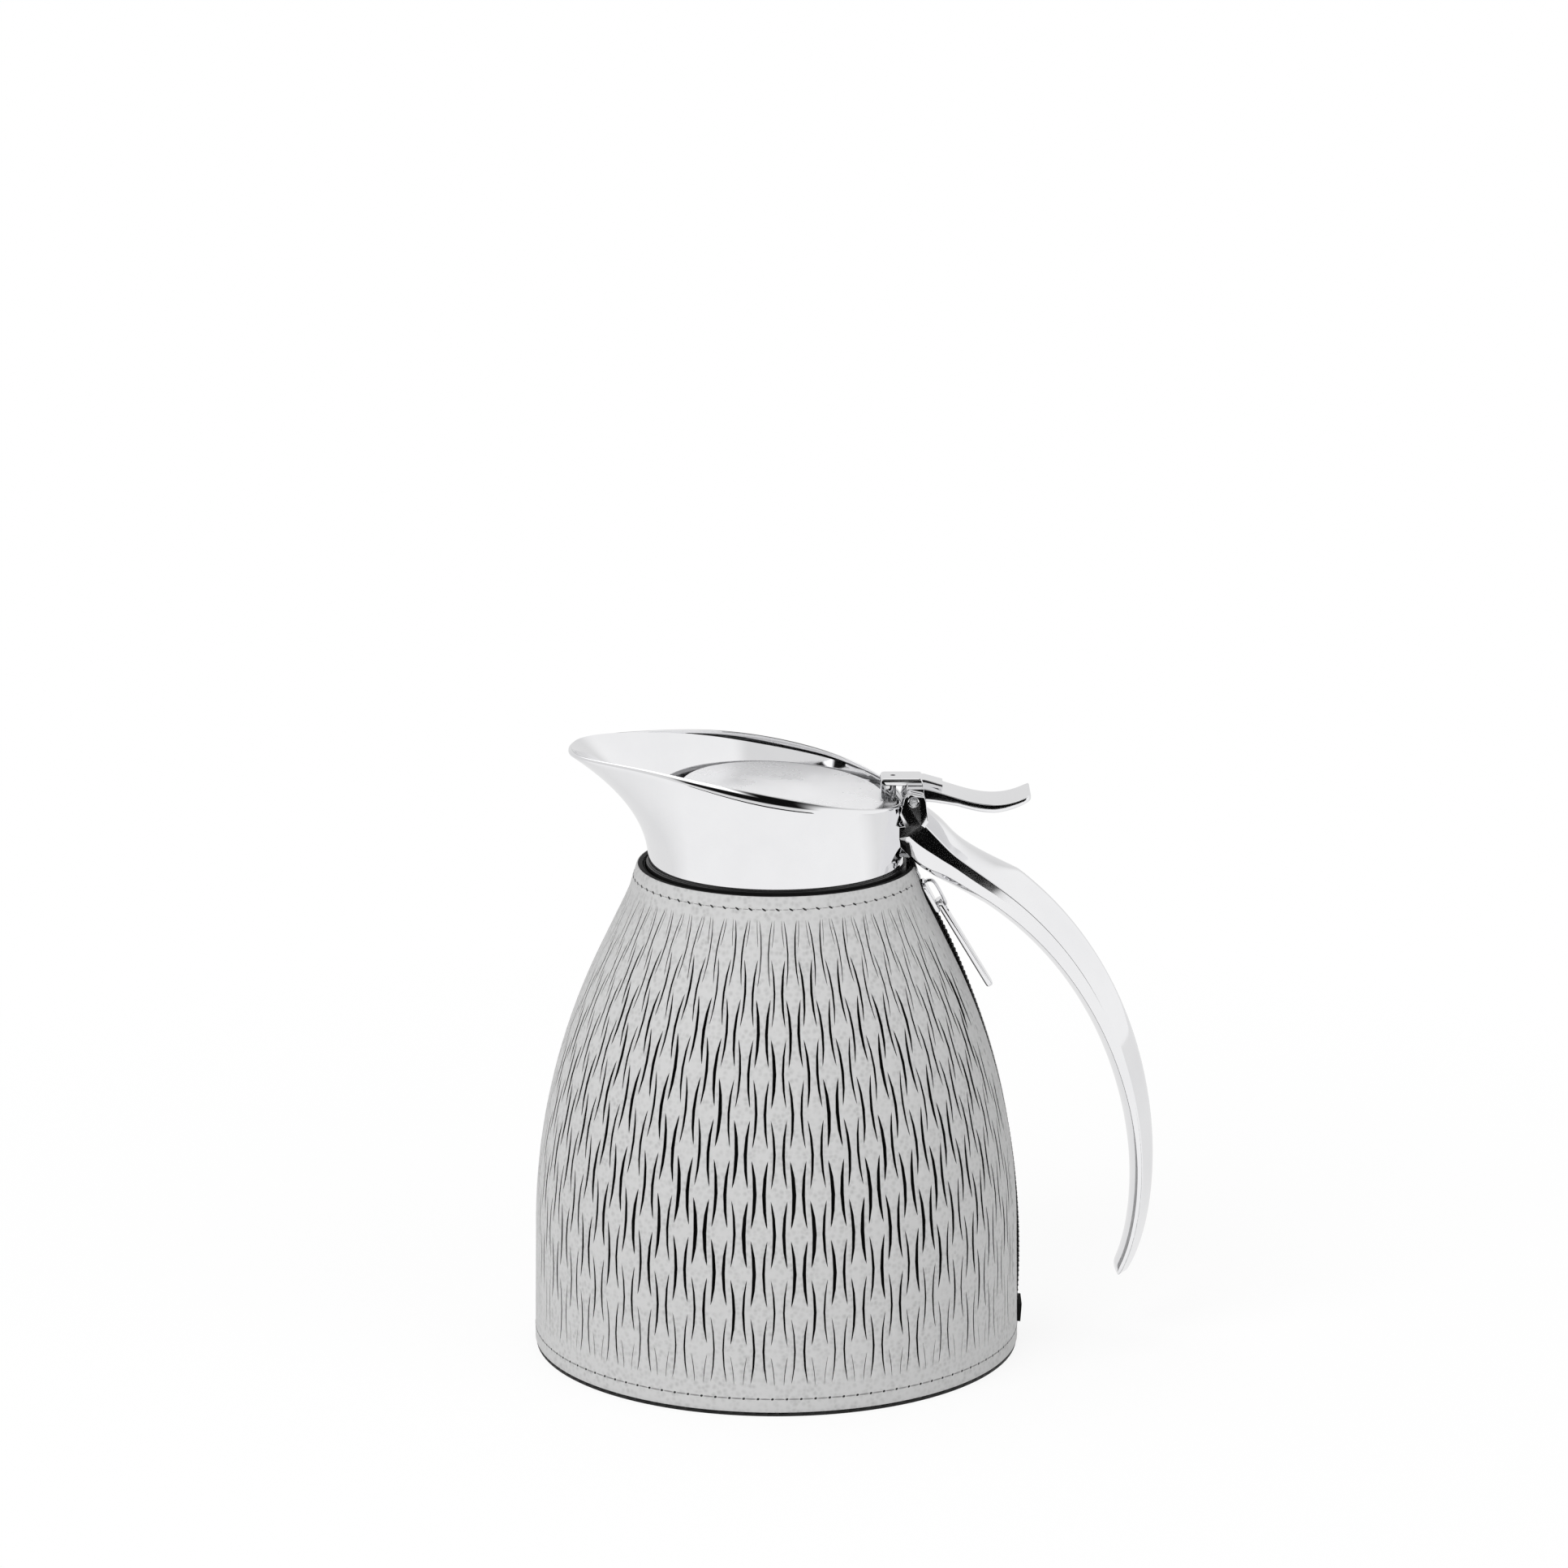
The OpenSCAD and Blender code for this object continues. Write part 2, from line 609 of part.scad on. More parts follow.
// Share runs from 0 at the ears over 1 at the bend to 2 at the free end
function grip_station(share) = let (
    u = share < 1 ? share : share - 1,
    line = share < 1 ? crest_root : crest_grip,
    fade = share < 1 ? 0 : ease(u / 0.62),
    end = ease((u - 0.72) / 0.28) * (share < 1 ? 0 : 1),
    thick = mix(mix(root_t, grip_t, fade), end_t, end))
    grip_ring(curve(line, u), slope(line, u),
        share < 1 ? grip_half_w : mix(grip_half_w, tip_half_w, pow(u, 1.3)),
        min(mix(mix(root_crown, bend_crown, share < 1 ? u : 1), low_crown, fade), thick - end_wall),
        mix(root_bevel, low_bevel, fade), thick);
module handle()
    color([0.85, 0.85, 0.87])
        difference() {
            union() {
                loft(concat(
                    [for (i = [0 : root_steps - 1]) grip_station(i / root_steps)],
                    [for (i = [0 : grip_steps]) grip_station(1 + i / grip_steps)]));
                translate([0, grip_half_w, 0]) rotate([90, 0, 0])
                    linear_extrude(2 * grip_half_w) polygon(root_outline);
                for (y = [grip_half_w, -grip_half_w + ear_t])
                    translate([0, y, 0]) rotate([90, 0, 0]) linear_extrude(ear_t) polygon(ear_outline);
            }
            translate([0, 0, shoulder_z]) cylinder(h = cover_h, r = collar_r);
            translate([pin_x, 0, pin_z]) rotate([90, 0, 0])
                cylinder(h = 3 * ears_w, r = pin_r + pin_gap, center = true);
            for (side = [-1, 1])
                translate([pin_x, side * (grip_half_w + 1 - recess_t), pin_z]) rotate([90, 0, 0])
                    cylinder(h = 2, r = recess_r, center = true);
            for (y = [-screw_y, screw_y])
                translate([mouth_r, y, screw_z]) rotate([0, 90, 0])
                    cylinder(h = neck_room + screw_l, r = screw_r + screw_gap);
        }

module handle_screws()
    color([0.6, 0.6, 0.62])
        for (y = [-screw_y, screw_y]) {
            wall_x = sqrt(pow(collar_r - collar_t, 2) - pow(abs(y) + screw_head_r, 2));
            translate([wall_x - screw_head_t, y, screw_z]) rotate([0, 90, 0]) {
                cylinder(h = screw_head_t, r = screw_head_r);
                cylinder(h = collar_r + screw_l - 0.3 - wall_x + screw_head_t, r = screw_r);
            }
        }

module hinge_pin()
    color([0.8, 0.8, 0.82])
        translate([pin_x, 0, pin_z]) rotate([90, 0, 0])
            cylinder(h = ears_w - 0.3, r = pin_r, center = true);

// Torsion spring on the pin between the two halves of the lever's hub
spring_path = concat(
    [[spring_r, -spring_turns * spring_pitch / 2 - 0.01, -spring_leg]],
    [for (i = [0 : spring_turns * turn_steps]) let (a = 360 * i / turn_steps)
        [spring_r * cos(a), -spring_turns * spring_pitch / 2 + spring_pitch * i / turn_steps,
         spring_r * sin(a)]]);
module return_spring()
    color([0.7, 0.7, 0.72])
        translate([pin_x, 0, pin_z])
            loft([for (i = [0 : len(spring_path) - 1]) let (
                before = spring_path[max(0, i - 1)],
                after = spring_path[min(len(spring_path) - 1, i + 1)],
                along = (after - before) / norm(after - before),
                side = cross(along, [0, 1, 0]) / norm(cross(along, [0, 1, 0])),
                rise = cross(along, side))
                [for (j = [0 : spring_sides - 1]) let (a = 360 * j / spring_sides)
                    spring_path[i] + wire_r * (side * cos(a) + rise * sin(a))]]);

function lever_thick(t) = t < 0.35 ? mix(lever_root_t, lever_t, t / 0.35) :
    mix(lever_t, lever_tip_t, clamp01((t - 0.7) / 0.3));
lever_outline = concat(
    [for (i = [0 : lever_steps]) curve(lever_top, i / lever_steps)],
    [for (i = [lever_steps : -1 : 0]) curve(lever_top, i / lever_steps) - [0, lever_thick(i / lever_steps)]]);
module along_y(w) translate([0, w / 2, 0]) rotate([90, 0, 0]) linear_extrude(w) children();
module thumb_lever()
    color([0.85, 0.85, 0.87])
        difference() {
            union() {
                along_y(hub_w) polygon(lever_outline);
                along_y(hub_w) polygon([[pin_x - hub_front, pin_z], [pin_x - hub_front, bridge_z],
                    [pin_x + hub_back, bridge_z], [pin_x + hub_back, pin_z - hub_drop]]);
                translate([pin_x, 0, pin_z]) rotate([90, 0, 0]) cylinder(h = hub_w, r = hub_r, center = true);
            }
            translate([pin_x, 0, pin_z]) rotate([90, 0, 0])
                cylinder(h = 2 * hub_w, r = pin_r + pin_gap, center = true);
            translate([pin_x, 0, pin_z]) rotate([90, 0, 0])
                cylinder(h = spring_bay_w, r = spring_r + wire_r + bay_gap, center = true);
            translate([pin_x - hub_w, -spring_bay_w / 2, pin_z - hub_w])
                cube([hub_w + bay_back, spring_bay_w, hub_w]);
        }

// Plane of the lid plate, which slopes down towards the hinge
module on_lid() translate([lid_x, 0, lid_z - lid_x * sin(lid_slope)]) rotate([0, lid_slope, 0]) children();
module lid_slab()
    on_lid() translate([0, 0, -lid_t])
        linear_extrude(lid_t)
            polygon([for (i = [0 : lid_sides - 1]) let (a = 360 * i / lid_sides)
                [lid_l / 2 * cos(a), lid_w / 2 * sin(a)]]);

module lid_plate()
    color([0.85, 0.85, 0.87])
        difference() {
            union() {
                lid_slab();
                translate([lug_x - lug_l, -lug_w / 2, lug_z]) cube([lug_l, lug_w, lug_t]);
                difference() {
                    translate([0, 0, boss_z]) cylinder(h = lid_z - boss_z, r = boss_r);
                    on_lid() translate([-lid_w, -lid_w, 0]) cube([2 * lid_w, 2 * lid_w, lid_w]);
                }
            }
            translate([0, 0, boss_z - 1]) cylinder(h = lid_screw_up + 1.1, r = screw_r + screw_gap);
            translate([post_x, 0, lug_z - lug_t]) cylinder(h = lug_w, r = post_r + screw_gap);
        }

module lid_bridge()
    color([0.85, 0.85, 0.87])
        difference() {
            union() {
                along_y(bridge_w) polygon([[bridge_x, bridge_z],
                    [bridge_x + bridge_slant, bridge_z + bridge_t],
                    [bridge_end_x - bridge_nose, bridge_z + bridge_t], [bridge_end_x, bridge_z]]);
                along_y(tongue_w) polygon([[bridge_end_x - bridge_slant, bridge_z],
                    [bridge_end_x - bridge_slant, bridge_z + tongue_t],
                    [tongue_x, bridge_z + tongue_tip], [tongue_x, lever_outline[3][1]]]);
                translate([bridge_x, -bridge_w / 2, hook_low_z])
                    cube([hook_t, bridge_w, bridge_z - hook_low_z]);
                translate([bridge_x + knuckle_r, 0, knuckle_z]) rotate([90, 0, 0])
                    cylinder(h = bridge_w - knuckle_in, r = knuckle_r, center = true);
            }
            lid_slab();
            on_lid() translate([0, -lid_w / 2, -lid_w]) cube([lid_w, lid_w, lid_w]);
            thumb_lever();
            translate([post_x, 0, lug_z]) cylinder(h = lid_l, r = post_r + screw_gap);
        }

// Rivet from the bridge down to the lid's lug
module lid_post()
    color([0.8, 0.8, 0.82]) {
        translate([post_x, 0, lug_z]) cylinder(h = bridge_z + bridge_t - lug_z, r = post_r);
        translate([post_x, 0, bridge_z - post_head_t]) cylinder(h = post_head_t, r = post_head_r);
        translate([post_x, 0, lug_z + lug_t]) cylinder(h = post_foot_t, r1 = post_head_r, r2 = post_r);
    }

module lid_stopper()
    color([0.1, 0.1, 0.1])
        difference() {
            union() {
                translate([0, 0, plug_z]) cylinder(h = plug_low_h, r = seat_r - plug_gap);
                translate([0, 0, plug_z + plug_low_h])
                    cylinder(h = stopper_top_z - plug_z - plug_low_h, r = stopper_r);
                translate([0, 0, stopper_top_z - 1]) cylinder(h = stopper_neck_h, r = stopper_neck_r);
            }
            on_lid() translate([-lid_w, -lid_w, -lid_t]) cube([2 * lid_w, 2 * lid_w, lid_w]);
            translate([0, 0, boss_z]) cylinder(h = lid_l, r = boss_r + screw_gap);
            translate([0, 0, plug_z - 1]) cylinder(h = lid_l, r = screw_r + screw_gap);
            translate([0, 0, plug_z - 1])
                cylinder(h = 1 + lid_screw_in + lid_screw_t, r = lid_screw_r + lid_screw_in);
        }

module stopper_seal()
    color([0.85, 0.85, 0.85])
        rotate_extrude()
            polygon([
                [seat_r - plug_gap, seat_top_z - seat_h + seal_gap],
                [seat_r, seat_top_z - seat_h + seal_gap],
                [seat_r + seat_w, seat_top_z + seal_gap],
                [seat_r + seat_w, plug_z + plug_low_h],
                [seat_r - plug_gap, plug_z + plug_low_h]]);

module stopper_screw()
    color([0.7, 0.7, 0.72])
        translate([0, 0, plug_z + lid_screw_in]) {
            cylinder(h = lid_screw_t, r = lid_screw_r);
            cylinder(h = boss_z - plug_z - lid_screw_in + lid_screw_up, r = screw_r);
        }

leather_wrap();
cover_lining();
cover_base();
zip_tape_front();
zip_tape_back();
zip_coil_front();
zip_coil_back();
zip_top_stops();
zip_bottom_tab();
zip_slider();
zip_puller();
flask_shell();
flask_base_cap();
liner_outer();
liner_inner();
liner_support();
liner_mouth_seal();
neck_ring();
collar();
pour_insert();
handle();
handle_screws();
hinge_pin();
return_spring();
thumb_lever();
lid_bridge();
lid_post();
lid_plate();
lid_stopper();
stopper_seal();
stopper_screw();
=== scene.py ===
"""Builds the visible pieces of a coffee pot in a slit leather cover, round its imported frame."""

import math
import random

import bmesh
import bpy
from mathutils import Matrix, Vector, kdtree
from mathutils.geometry import delaunay_2d_cdt


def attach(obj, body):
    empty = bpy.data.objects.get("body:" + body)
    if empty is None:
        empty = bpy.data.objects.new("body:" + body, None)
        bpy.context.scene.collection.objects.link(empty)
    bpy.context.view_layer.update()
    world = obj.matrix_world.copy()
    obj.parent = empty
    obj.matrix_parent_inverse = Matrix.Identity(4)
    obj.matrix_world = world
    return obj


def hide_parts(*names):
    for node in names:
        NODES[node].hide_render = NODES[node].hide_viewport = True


bl_info = {
    "name": "Leather-covered coffee pot",
    "version": (1, 0, 0),
    "blender": (4, 5, 0),
    "location": "View3D > Sidebar > Coffee pot",
    "description": "Builds the visible pieces of a coffee pot round its packed frame",
    "category": "Add Mesh",
}

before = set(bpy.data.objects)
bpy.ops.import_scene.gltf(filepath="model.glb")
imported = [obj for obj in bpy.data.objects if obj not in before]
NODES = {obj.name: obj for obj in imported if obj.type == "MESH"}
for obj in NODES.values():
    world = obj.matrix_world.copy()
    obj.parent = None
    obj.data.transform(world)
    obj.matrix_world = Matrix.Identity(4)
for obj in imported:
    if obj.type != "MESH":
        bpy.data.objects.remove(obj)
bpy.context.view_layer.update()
MM = 0.001
# Points nearer than this, in metres, are one
SAME_PLACE = 2e-6
# Edges over these angles in degrees stay sharp: as a rule, on castings, on CAD copies and on evened faces
SHARP, CAST_SHARP, COPY_SHARP, EVEN_SHARP = 35.0, 40.0, 30.0, 50.0


# ---------------------------------------------------------------- numbers and curves


def mix(a, b, t):
    return a + (b - a) * t


def clamp(t):
    return max(0.0, min(1.0, t))


def ease(t):
    t = clamp(t)
    return t * t * (3 - 2 * t)


def bezier(p, t):
    """Point of a cubic curve in the plane."""
    k = ((1 - t) ** 3, 3 * (1 - t) ** 2 * t, 3 * (1 - t) * t * t, t**3)
    return Vector([sum(k[i] * p[i][axis] for i in range(4)) for axis in (0, 1)])


def bezier_slope(p, t):
    k = ((1 - t) ** 2, 2 * (1 - t) * t, t * t)
    return Vector([sum(k[i] * (p[i + 1][axis] - p[i][axis]) for i in range(3)) for axis in (0, 1)])


def linear(code):
    """An sRGB hex colour as linear RGBA."""
    parts = [int(code[i : i + 2], 16) / 255 for i in (1, 3, 5)]
    return tuple(c / 12.92 if c <= 0.04045 else ((c + 0.055) / 1.055) ** 2.4 for c in parts) + (1.0,)


def round_corners(points, radii, steps=4, hold=0.0):
    """A closed outline with its corners rounded; hold adds a point that far past both ends of an arc."""
    out, n = [], len(points)
    for i, radius in enumerate(radii):
        p, a, b = Vector(points[i]), Vector(points[i - 1]), Vector(points[(i + 1) % n])
        if radius <= 0:
            out.append(p)
            continue
        u, v = (a - p).normalized(), (b - p).normalized()
        half = math.acos(max(-1, min(1, u.dot(v)))) / 2
        reach = min(radius / math.tan(half), 0.45 * (a - p).length, 0.45 * (b - p).length)
        s, e = p + u * reach, p + v * reach
        if hold:
            out.append(s + u * hold)
        for k in range(steps + 1):
            t = k / steps
            out.append(s * (1 - t) ** 2 + p * 2 * t * (1 - t) + e * t * t)
        if hold:
            out.append(e + v * hold)
    return out


# ---------------------------------------------------------------- meshes


def merge_points(mesh, turn_out):
    """Merges points in one place and, if asked, turns the faces outwards."""
    bm = bmesh.new()
    bm.from_mesh(mesh)
    bmesh.ops.remove_doubles(bm, verts=bm.verts, dist=SAME_PLACE)
    if turn_out:
        bmesh.ops.recalc_face_normals(bm, faces=bm.faces)
    bm.to_mesh(mesh)
    bm.free()


def shade(mesh, angle):
    """Smooth shading but for edges over the angle in degrees."""
    mesh.shade_smooth()
    mesh.set_sharp_from_angle(angle=math.radians(angle))


def put(name, block):
    """A new object in the scene from a mesh, a lamp or a camera."""
    thing = bpy.data.objects.new(name, block)
    bpy.context.scene.collection.objects.link(thing)
    return thing


def apply_tools(piece):
    """Turns a piece's modifiers into plain mesh."""
    graph = bpy.context.evaluated_depsgraph_get()
    mesh = bpy.data.meshes.new_from_object(piece.evaluated_get(graph))
    piece.modifiers.clear()
    piece.data = mesh
    return mesh


def make_piece(name, verts, faces, materials, picks=None, angle=SHARP, turn_out=True):
    """A mesh object from points in millimetres."""
    mesh = bpy.data.meshes.new(name)
    mesh.from_pydata([(x * MM, y * MM, z * MM) for x, y, z in verts], [], faces)
    if picks:
        mesh.polygons.foreach_set("material_index", picks)
    merge_points(mesh, turn_out)
    for material in materials:
        mesh.materials.append(material)
    shade(mesh, angle)
    return put(name, mesh)


def copy_of_node(name, node, material):
    """A merged, smooth-shaded copy of a CAD node."""
    mesh = NODES[node].data.copy()
    mesh.name = name
    merge_points(mesh, False)
    mesh.materials.clear()
    mesh.materials.append(material)
    shade(mesh, COPY_SHARP)
    return put(name, mesh)


def carve(piece, others, operation, angle=SHARP):
    """Joins a piece with other closed pieces, or cuts it with them; they are used up."""
    for other in others:
        tool = piece.modifiers.new("carve", "BOOLEAN")
        tool.operation, tool.solver, tool.object = operation, "EXACT", other
    apply_tools(piece)
    for other in others:
        bpy.data.objects.remove(other)
    shade(piece.data, angle)


def even_out(piece):
    """Shades flat faces flat and leaves the turning of light to the narrow rounded edges between them."""
    piece.data.set_sharp_from_angle(angle=math.radians(EVEN_SHARP))
    tool = piece.modifiers.new("even", "WEIGHTED_NORMAL")
    tool.mode, tool.weight, tool.keep_sharp = "FACE_AREA", 80, True
    apply_tools(piece)


def settle(piece, name, body, slot, *nodes):
    """Names a finished piece, rides it on its body and hides the nodes it stands for; the finish slot it is
    given is not used.
    """
    piece.name = piece.data.name = name
    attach(piece, body)
    if nodes:
        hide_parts(*nodes)


def loft(rings, joined=False):
    """Points and faces of a skin through rings of equal count, capped unless joined end to end."""
    n, m = len(rings[0]), len(rings)
    verts = [tuple(p) for ring in rings for p in ring]
    faces = []
    for i in range(m if joined else m - 1):
        a, b = i * n, (i + 1) % m * n
        faces += [(a + j, b + j, b + (j + 1) % n, a + (j + 1) % n) for j in range(n)]
    if not joined:
        faces += [tuple(range(n))[::-1], tuple((m - 1) * n + j for j in range(n))]
    return verts, faces


def lathe(outline, steps, centre=(0.0, 0.0)):
    """Points and faces of an outline of (radius, height) turned about a vertical axis."""
    rings = []
    for k in range(steps):
        a = 2 * math.pi * k / steps
        rings.append([(centre[0] + r * math.cos(a), centre[1] + r * math.sin(a), z) for r, z in outline])
    return loft(rings, joined=True)


def slab(outline, low, high, bevel, axis="Y", steps=3):
    """Points and faces of an outline pushed from low to high along an axis, with rounded rims."""
    n = len(outline)
    inward = []
    for i in range(n):
        before = Vector(outline[i]) - Vector(outline[i - 1])
        after = Vector(outline[(i + 1) % n]) - Vector(outline[i])
        first, second = Vector((-before.y, before.x)), Vector((-after.y, after.x))
        inward.append((first.normalized() + second.normalized()).normalized())
    area = sum(outline[i - 1][0] * outline[i][1] - outline[i][0] * outline[i - 1][1] for i in range(n))
    side = 1 if area > 0 else -1
    turns = [math.pi / 2 * k / steps for k in range(steps + 1)]
    levels = [(low + bevel * (1 - math.cos(a)), bevel * (1 - math.sin(a))) for a in turns]
    levels += [(high - bevel * (1 - math.cos(a)), bevel * (1 - math.sin(a))) for a in reversed(turns)]
    rings = []
    for level, inset in levels:
        spots = [Vector(p) + m * (inset * side) for p, m in zip(outline, inward)]
        rings.append([(q.x, level, q.y) if axis == "Y" else (q.x, q.y, level) for q in spots])
    return loft(rings)


def rod(x, z, radius, low, high):
    """Points and faces of a round bar that lies along Y."""
    turns = [2 * math.pi * k / 48 for k in range(48)]
    ring = [(x + radius * math.cos(a), z + radius * math.sin(a)) for a in turns]
    return slab(ring, low, high, min(0.12, radius / 3))


def tube(path, radius, sides, flat):
    """Points and faces of a wire along a path; flat scales its thickness along the world's Y."""
    rings = []
    turns = [2 * math.pi * k / sides for k in range(sides)]
    for i, p in enumerate(path):
        d = Vector(path[min(len(path) - 1, i + 1)]) - Vector(path[max(0, i - 1)])
        d.normalize()
        side = d.cross(Vector((0, 1, 0)))
        side = side.normalized() if side.length > 1e-6 else Vector((1, 0, 0))
        up = side.cross(d).normalized()
        rings.append([p + side * (radius * math.cos(a)) + up * (radius * flat * math.sin(a)) for a in turns])
    return loft(rings)


# ---------------------------------------------------------------- materials


def add(tree, kind, inputs=None, **settings):
    """Adds a node: settings are its own properties, and an input takes a value or a socket."""
    item = tree.nodes.new(kind)
    for key, value in settings.items():
        setattr(item, key, value)
    for key, value in (inputs or {}).items():
        if isinstance(value, bpy.types.NodeSocket):
            tree.links.new(value, item.inputs[key])
        else:
            item.inputs[key].default_value = value
    return item


def empty_tree(block):
    """The cleared node tree of a material or a world."""
    block.use_nodes = True
    block.node_tree.nodes.clear()
    return block.node_tree


def start_material(name, **values):
    """A named material with one Principled shader; returns material, tree, shader and Object coordinates."""
    material = bpy.data.materials.new(name)
    tree = empty_tree(material)
    shader = add(tree, "ShaderNodeBsdfPrincipled", {key.replace("_", " "): v for key, v in values.items()})
    add(tree, "ShaderNodeOutputMaterial", {"Surface": shader.outputs["BSDF"]})
    return material, tree, shader, add(tree, "ShaderNodeTexCoord").outputs["Object"]


def feed(tree, shader, **sockets):
    """Links sockets into the shader's inputs."""
    for key, socket in sockets.items():
        tree.links.new(socket, shader.inputs[key.replace("_", " ")])


def leather_material(dark, light):
    """Embossed full-grain leather: soft 1.3 mm pebbles whose middles are a shade darker, and a low sheen."""
    look = {"Roughness": 0.62, "Specular_IOR_Level": 0.35}
    material, tree, shader, place = start_material("embossed grey leather", **look)
    sway = add(tree, "ShaderNodeTexNoise", {"Vector": place, "Scale": 420.0, "Detail": 2.0}).outputs["Color"]
    bent = add(tree, "ShaderNodeMix", {"Factor": 0.0009, 4: place, 5: sway},
               data_type="VECTOR", clamp_factor=False).outputs[1]
    cells = add(tree, "ShaderNodeTexVoronoi", {"Vector": bent, "Scale": 760.0, "Randomness": 0.85})
    pebble = add(tree, "ShaderNodeMapRange", {"Value": cells.outputs["Distance"], "From Min": 0.12,
                                              "From Max": 0.62}).outputs["Result"]
    # The pebbles are plainer in some patches than in others
    patch = add(tree, "ShaderNodeTexNoise", {"Vector": place, "Scale": 180.0, "Detail": 1.0}).outputs["Fac"]
    gate = add(tree, "ShaderNodeMapRange", {"Value": patch, "From Min": 0.35, "From Max": 0.65,
                                            "To Min": 0.35, "To Max": 1.0}).outputs["Result"]
    soft = add(tree, "ShaderNodeMath", {0: 1.0, 1: pebble}, operation="SUBTRACT").outputs[0]
    spots = add(tree, "ShaderNodeMath", {0: soft, 1: gate}, operation="MULTIPLY").outputs[0]
    tint = add(tree, "ShaderNodeMix", {"Factor": spots, 6: light, 7: dark}, data_type="RGBA").outputs[2]
    fine = add(tree, "ShaderNodeTexNoise", {"Vector": place, "Scale": 2600.0, "Detail": 2.0}).outputs["Fac"]
    grain = add(tree, "ShaderNodeMath", {0: fine, 1: 0.25, 2: pebble}, operation="MULTIPLY_ADD").outputs[0]
    bump = add(tree, "ShaderNodeBump", {"Strength": 0.35, "Distance": 0.00007, "Height": grain})
    feed(tree, shader, Base_Color=tint, Normal=bump.outputs["Normal"])
    return material


def edge_paint_and_slit_shade_material():
    """Black for the leather's cut walls: dyed and burnished edge paint on its rims, and painted shade on the
    walls of the slits; matt with a faint fibrous mottle.
    """
    look = {"Roughness": 0.7, "Specular_IOR_Level": 0.25}
    material, tree, shader, place = start_material("black leather edge paint and painted slit shade", **look)
    fibre = add(tree, "ShaderNodeTexNoise", {"Vector": place, "Scale": 1500.0, "Detail": 3.0}).outputs["Fac"]
    tint = add(tree, "ShaderNodeMix", {"Factor": fibre, 6: linear("#060606"), 7: linear("#141414")},
               data_type="RGBA")
    feed(tree, shader, Base_Color=tint.outputs[2])
    return material


def cloth_material(name, first, second, threads_per_mm):
    """Plain-woven cloth: warp and weft threads that cross over and under, with a dull surface."""
    material, tree, shader, place = start_material(name, Roughness=0.85, Specular_IOR_Level=0.2)
    # A wave of this scale has one band for every pair of threads
    scale = 1000.0 * threads_per_mm / 2 / math.pi * 1.6
    warp = add(tree, "ShaderNodeTexWave", {"Vector": place, "Scale": scale}, bands_direction="Z")
    weft = add(tree, "ShaderNodeTexWave", {"Vector": place, "Scale": scale}, bands_direction="Y")
    weave = add(tree, "ShaderNodeMath", {0: warp.outputs["Fac"], 1: weft.outputs["Fac"]},
                operation="MULTIPLY").outputs[0]
    tint = add(tree, "ShaderNodeMix", {"Factor": weave, 6: first, 7: second}, data_type="RGBA").outputs[2]
    bump = add(tree, "ShaderNodeBump", {"Strength": 0.4, "Distance": 0.0001, "Height": weave})
    feed(tree, shader, Base_Color=tint, Normal=bump.outputs["Normal"])
    return material


def chrome_material(name, tint, roughness, haze_scale=60.0, metallic=1.0):
    """Polished chrome plate: a clear mirror with faint wipe marks that vary its gloss."""
    material, tree, shader, place = start_material(name, Metallic=metallic)
    marks = add(tree, "ShaderNodeTexNoise", {"Vector": place, "Scale": haze_scale, "Detail": 4.0,
                                             "Roughness": 0.6}).outputs["Fac"]
    gloss = add(tree, "ShaderNodeMapRange", {"Value": marks, "From Min": 0.3, "From Max": 0.7,
                                             "To Min": roughness * 0.6, "To Max": roughness * 1.5})
    hazed = add(tree, "ShaderNodeMix", {"Factor": marks, 6: tint, 7: linear("#F2F2F3")}, data_type="RGBA")
    feed(tree, shader, Roughness=gloss.outputs["Result"], Base_Color=hazed.outputs[2])
    return material


def turned_steel_material():
    """Turned stainless steel: fine rings round the axis and a soft gloss."""
    material, tree, shader, place = start_material("turned stainless steel", Metallic=1.0)
    stretched = add(tree, "ShaderNodeMapping", {"Vector": place, "Scale": (200.0, 200.0, 6000.0)}).outputs[0]
    rings = add(tree, "ShaderNodeTexNoise", {"Vector": stretched, "Scale": 1.0, "Detail": 2.0}).outputs["Fac"]
    gloss = add(tree, "ShaderNodeMapRange", {"Value": rings, "To Min": 0.18, "To Max": 0.38})
    tint = add(tree, "ShaderNodeMix", {"Factor": rings, 6: linear("#B9BABC"), 7: linear("#D2D3D5")},
               data_type="RGBA")
    feed(tree, shader, Roughness=gloss.outputs["Result"], Base_Color=tint.outputs[2])
    return material


def moulded_material(name, first, second, roughness, grain_mm=0.4):
    """Moulded plastic or rubber: one colour with a barely seen mottle and a fine spark-eroded grain."""
    material, tree, shader, place = start_material(name, Specular_IOR_Level=0.4)
    mottle = add(tree, "ShaderNodeTexNoise", {"Vector": place, "Scale": 120.0, "Detail": 2.0}).outputs["Fac"]
    grain = add(tree, "ShaderNodeTexNoise", {"Vector": place, "Scale": 1000.0 / grain_mm, "Detail": 1.0})
    gloss = add(tree, "ShaderNodeMapRange", {"Value": mottle, "To Min": roughness * 0.85,
                                             "To Max": roughness * 1.1})
    bump = add(tree, "ShaderNodeBump", {"Strength": 0.3, "Distance": 0.00003, "Height": grain.outputs["Fac"]})
    tint = add(tree, "ShaderNodeMix", {"Factor": mottle, 6: first, 7: second}, data_type="RGBA").outputs[2]
    feed(tree, shader, Base_Color=tint, Roughness=gloss.outputs["Result"], Normal=bump.outputs["Normal"])
    return material


FINISHES = {}
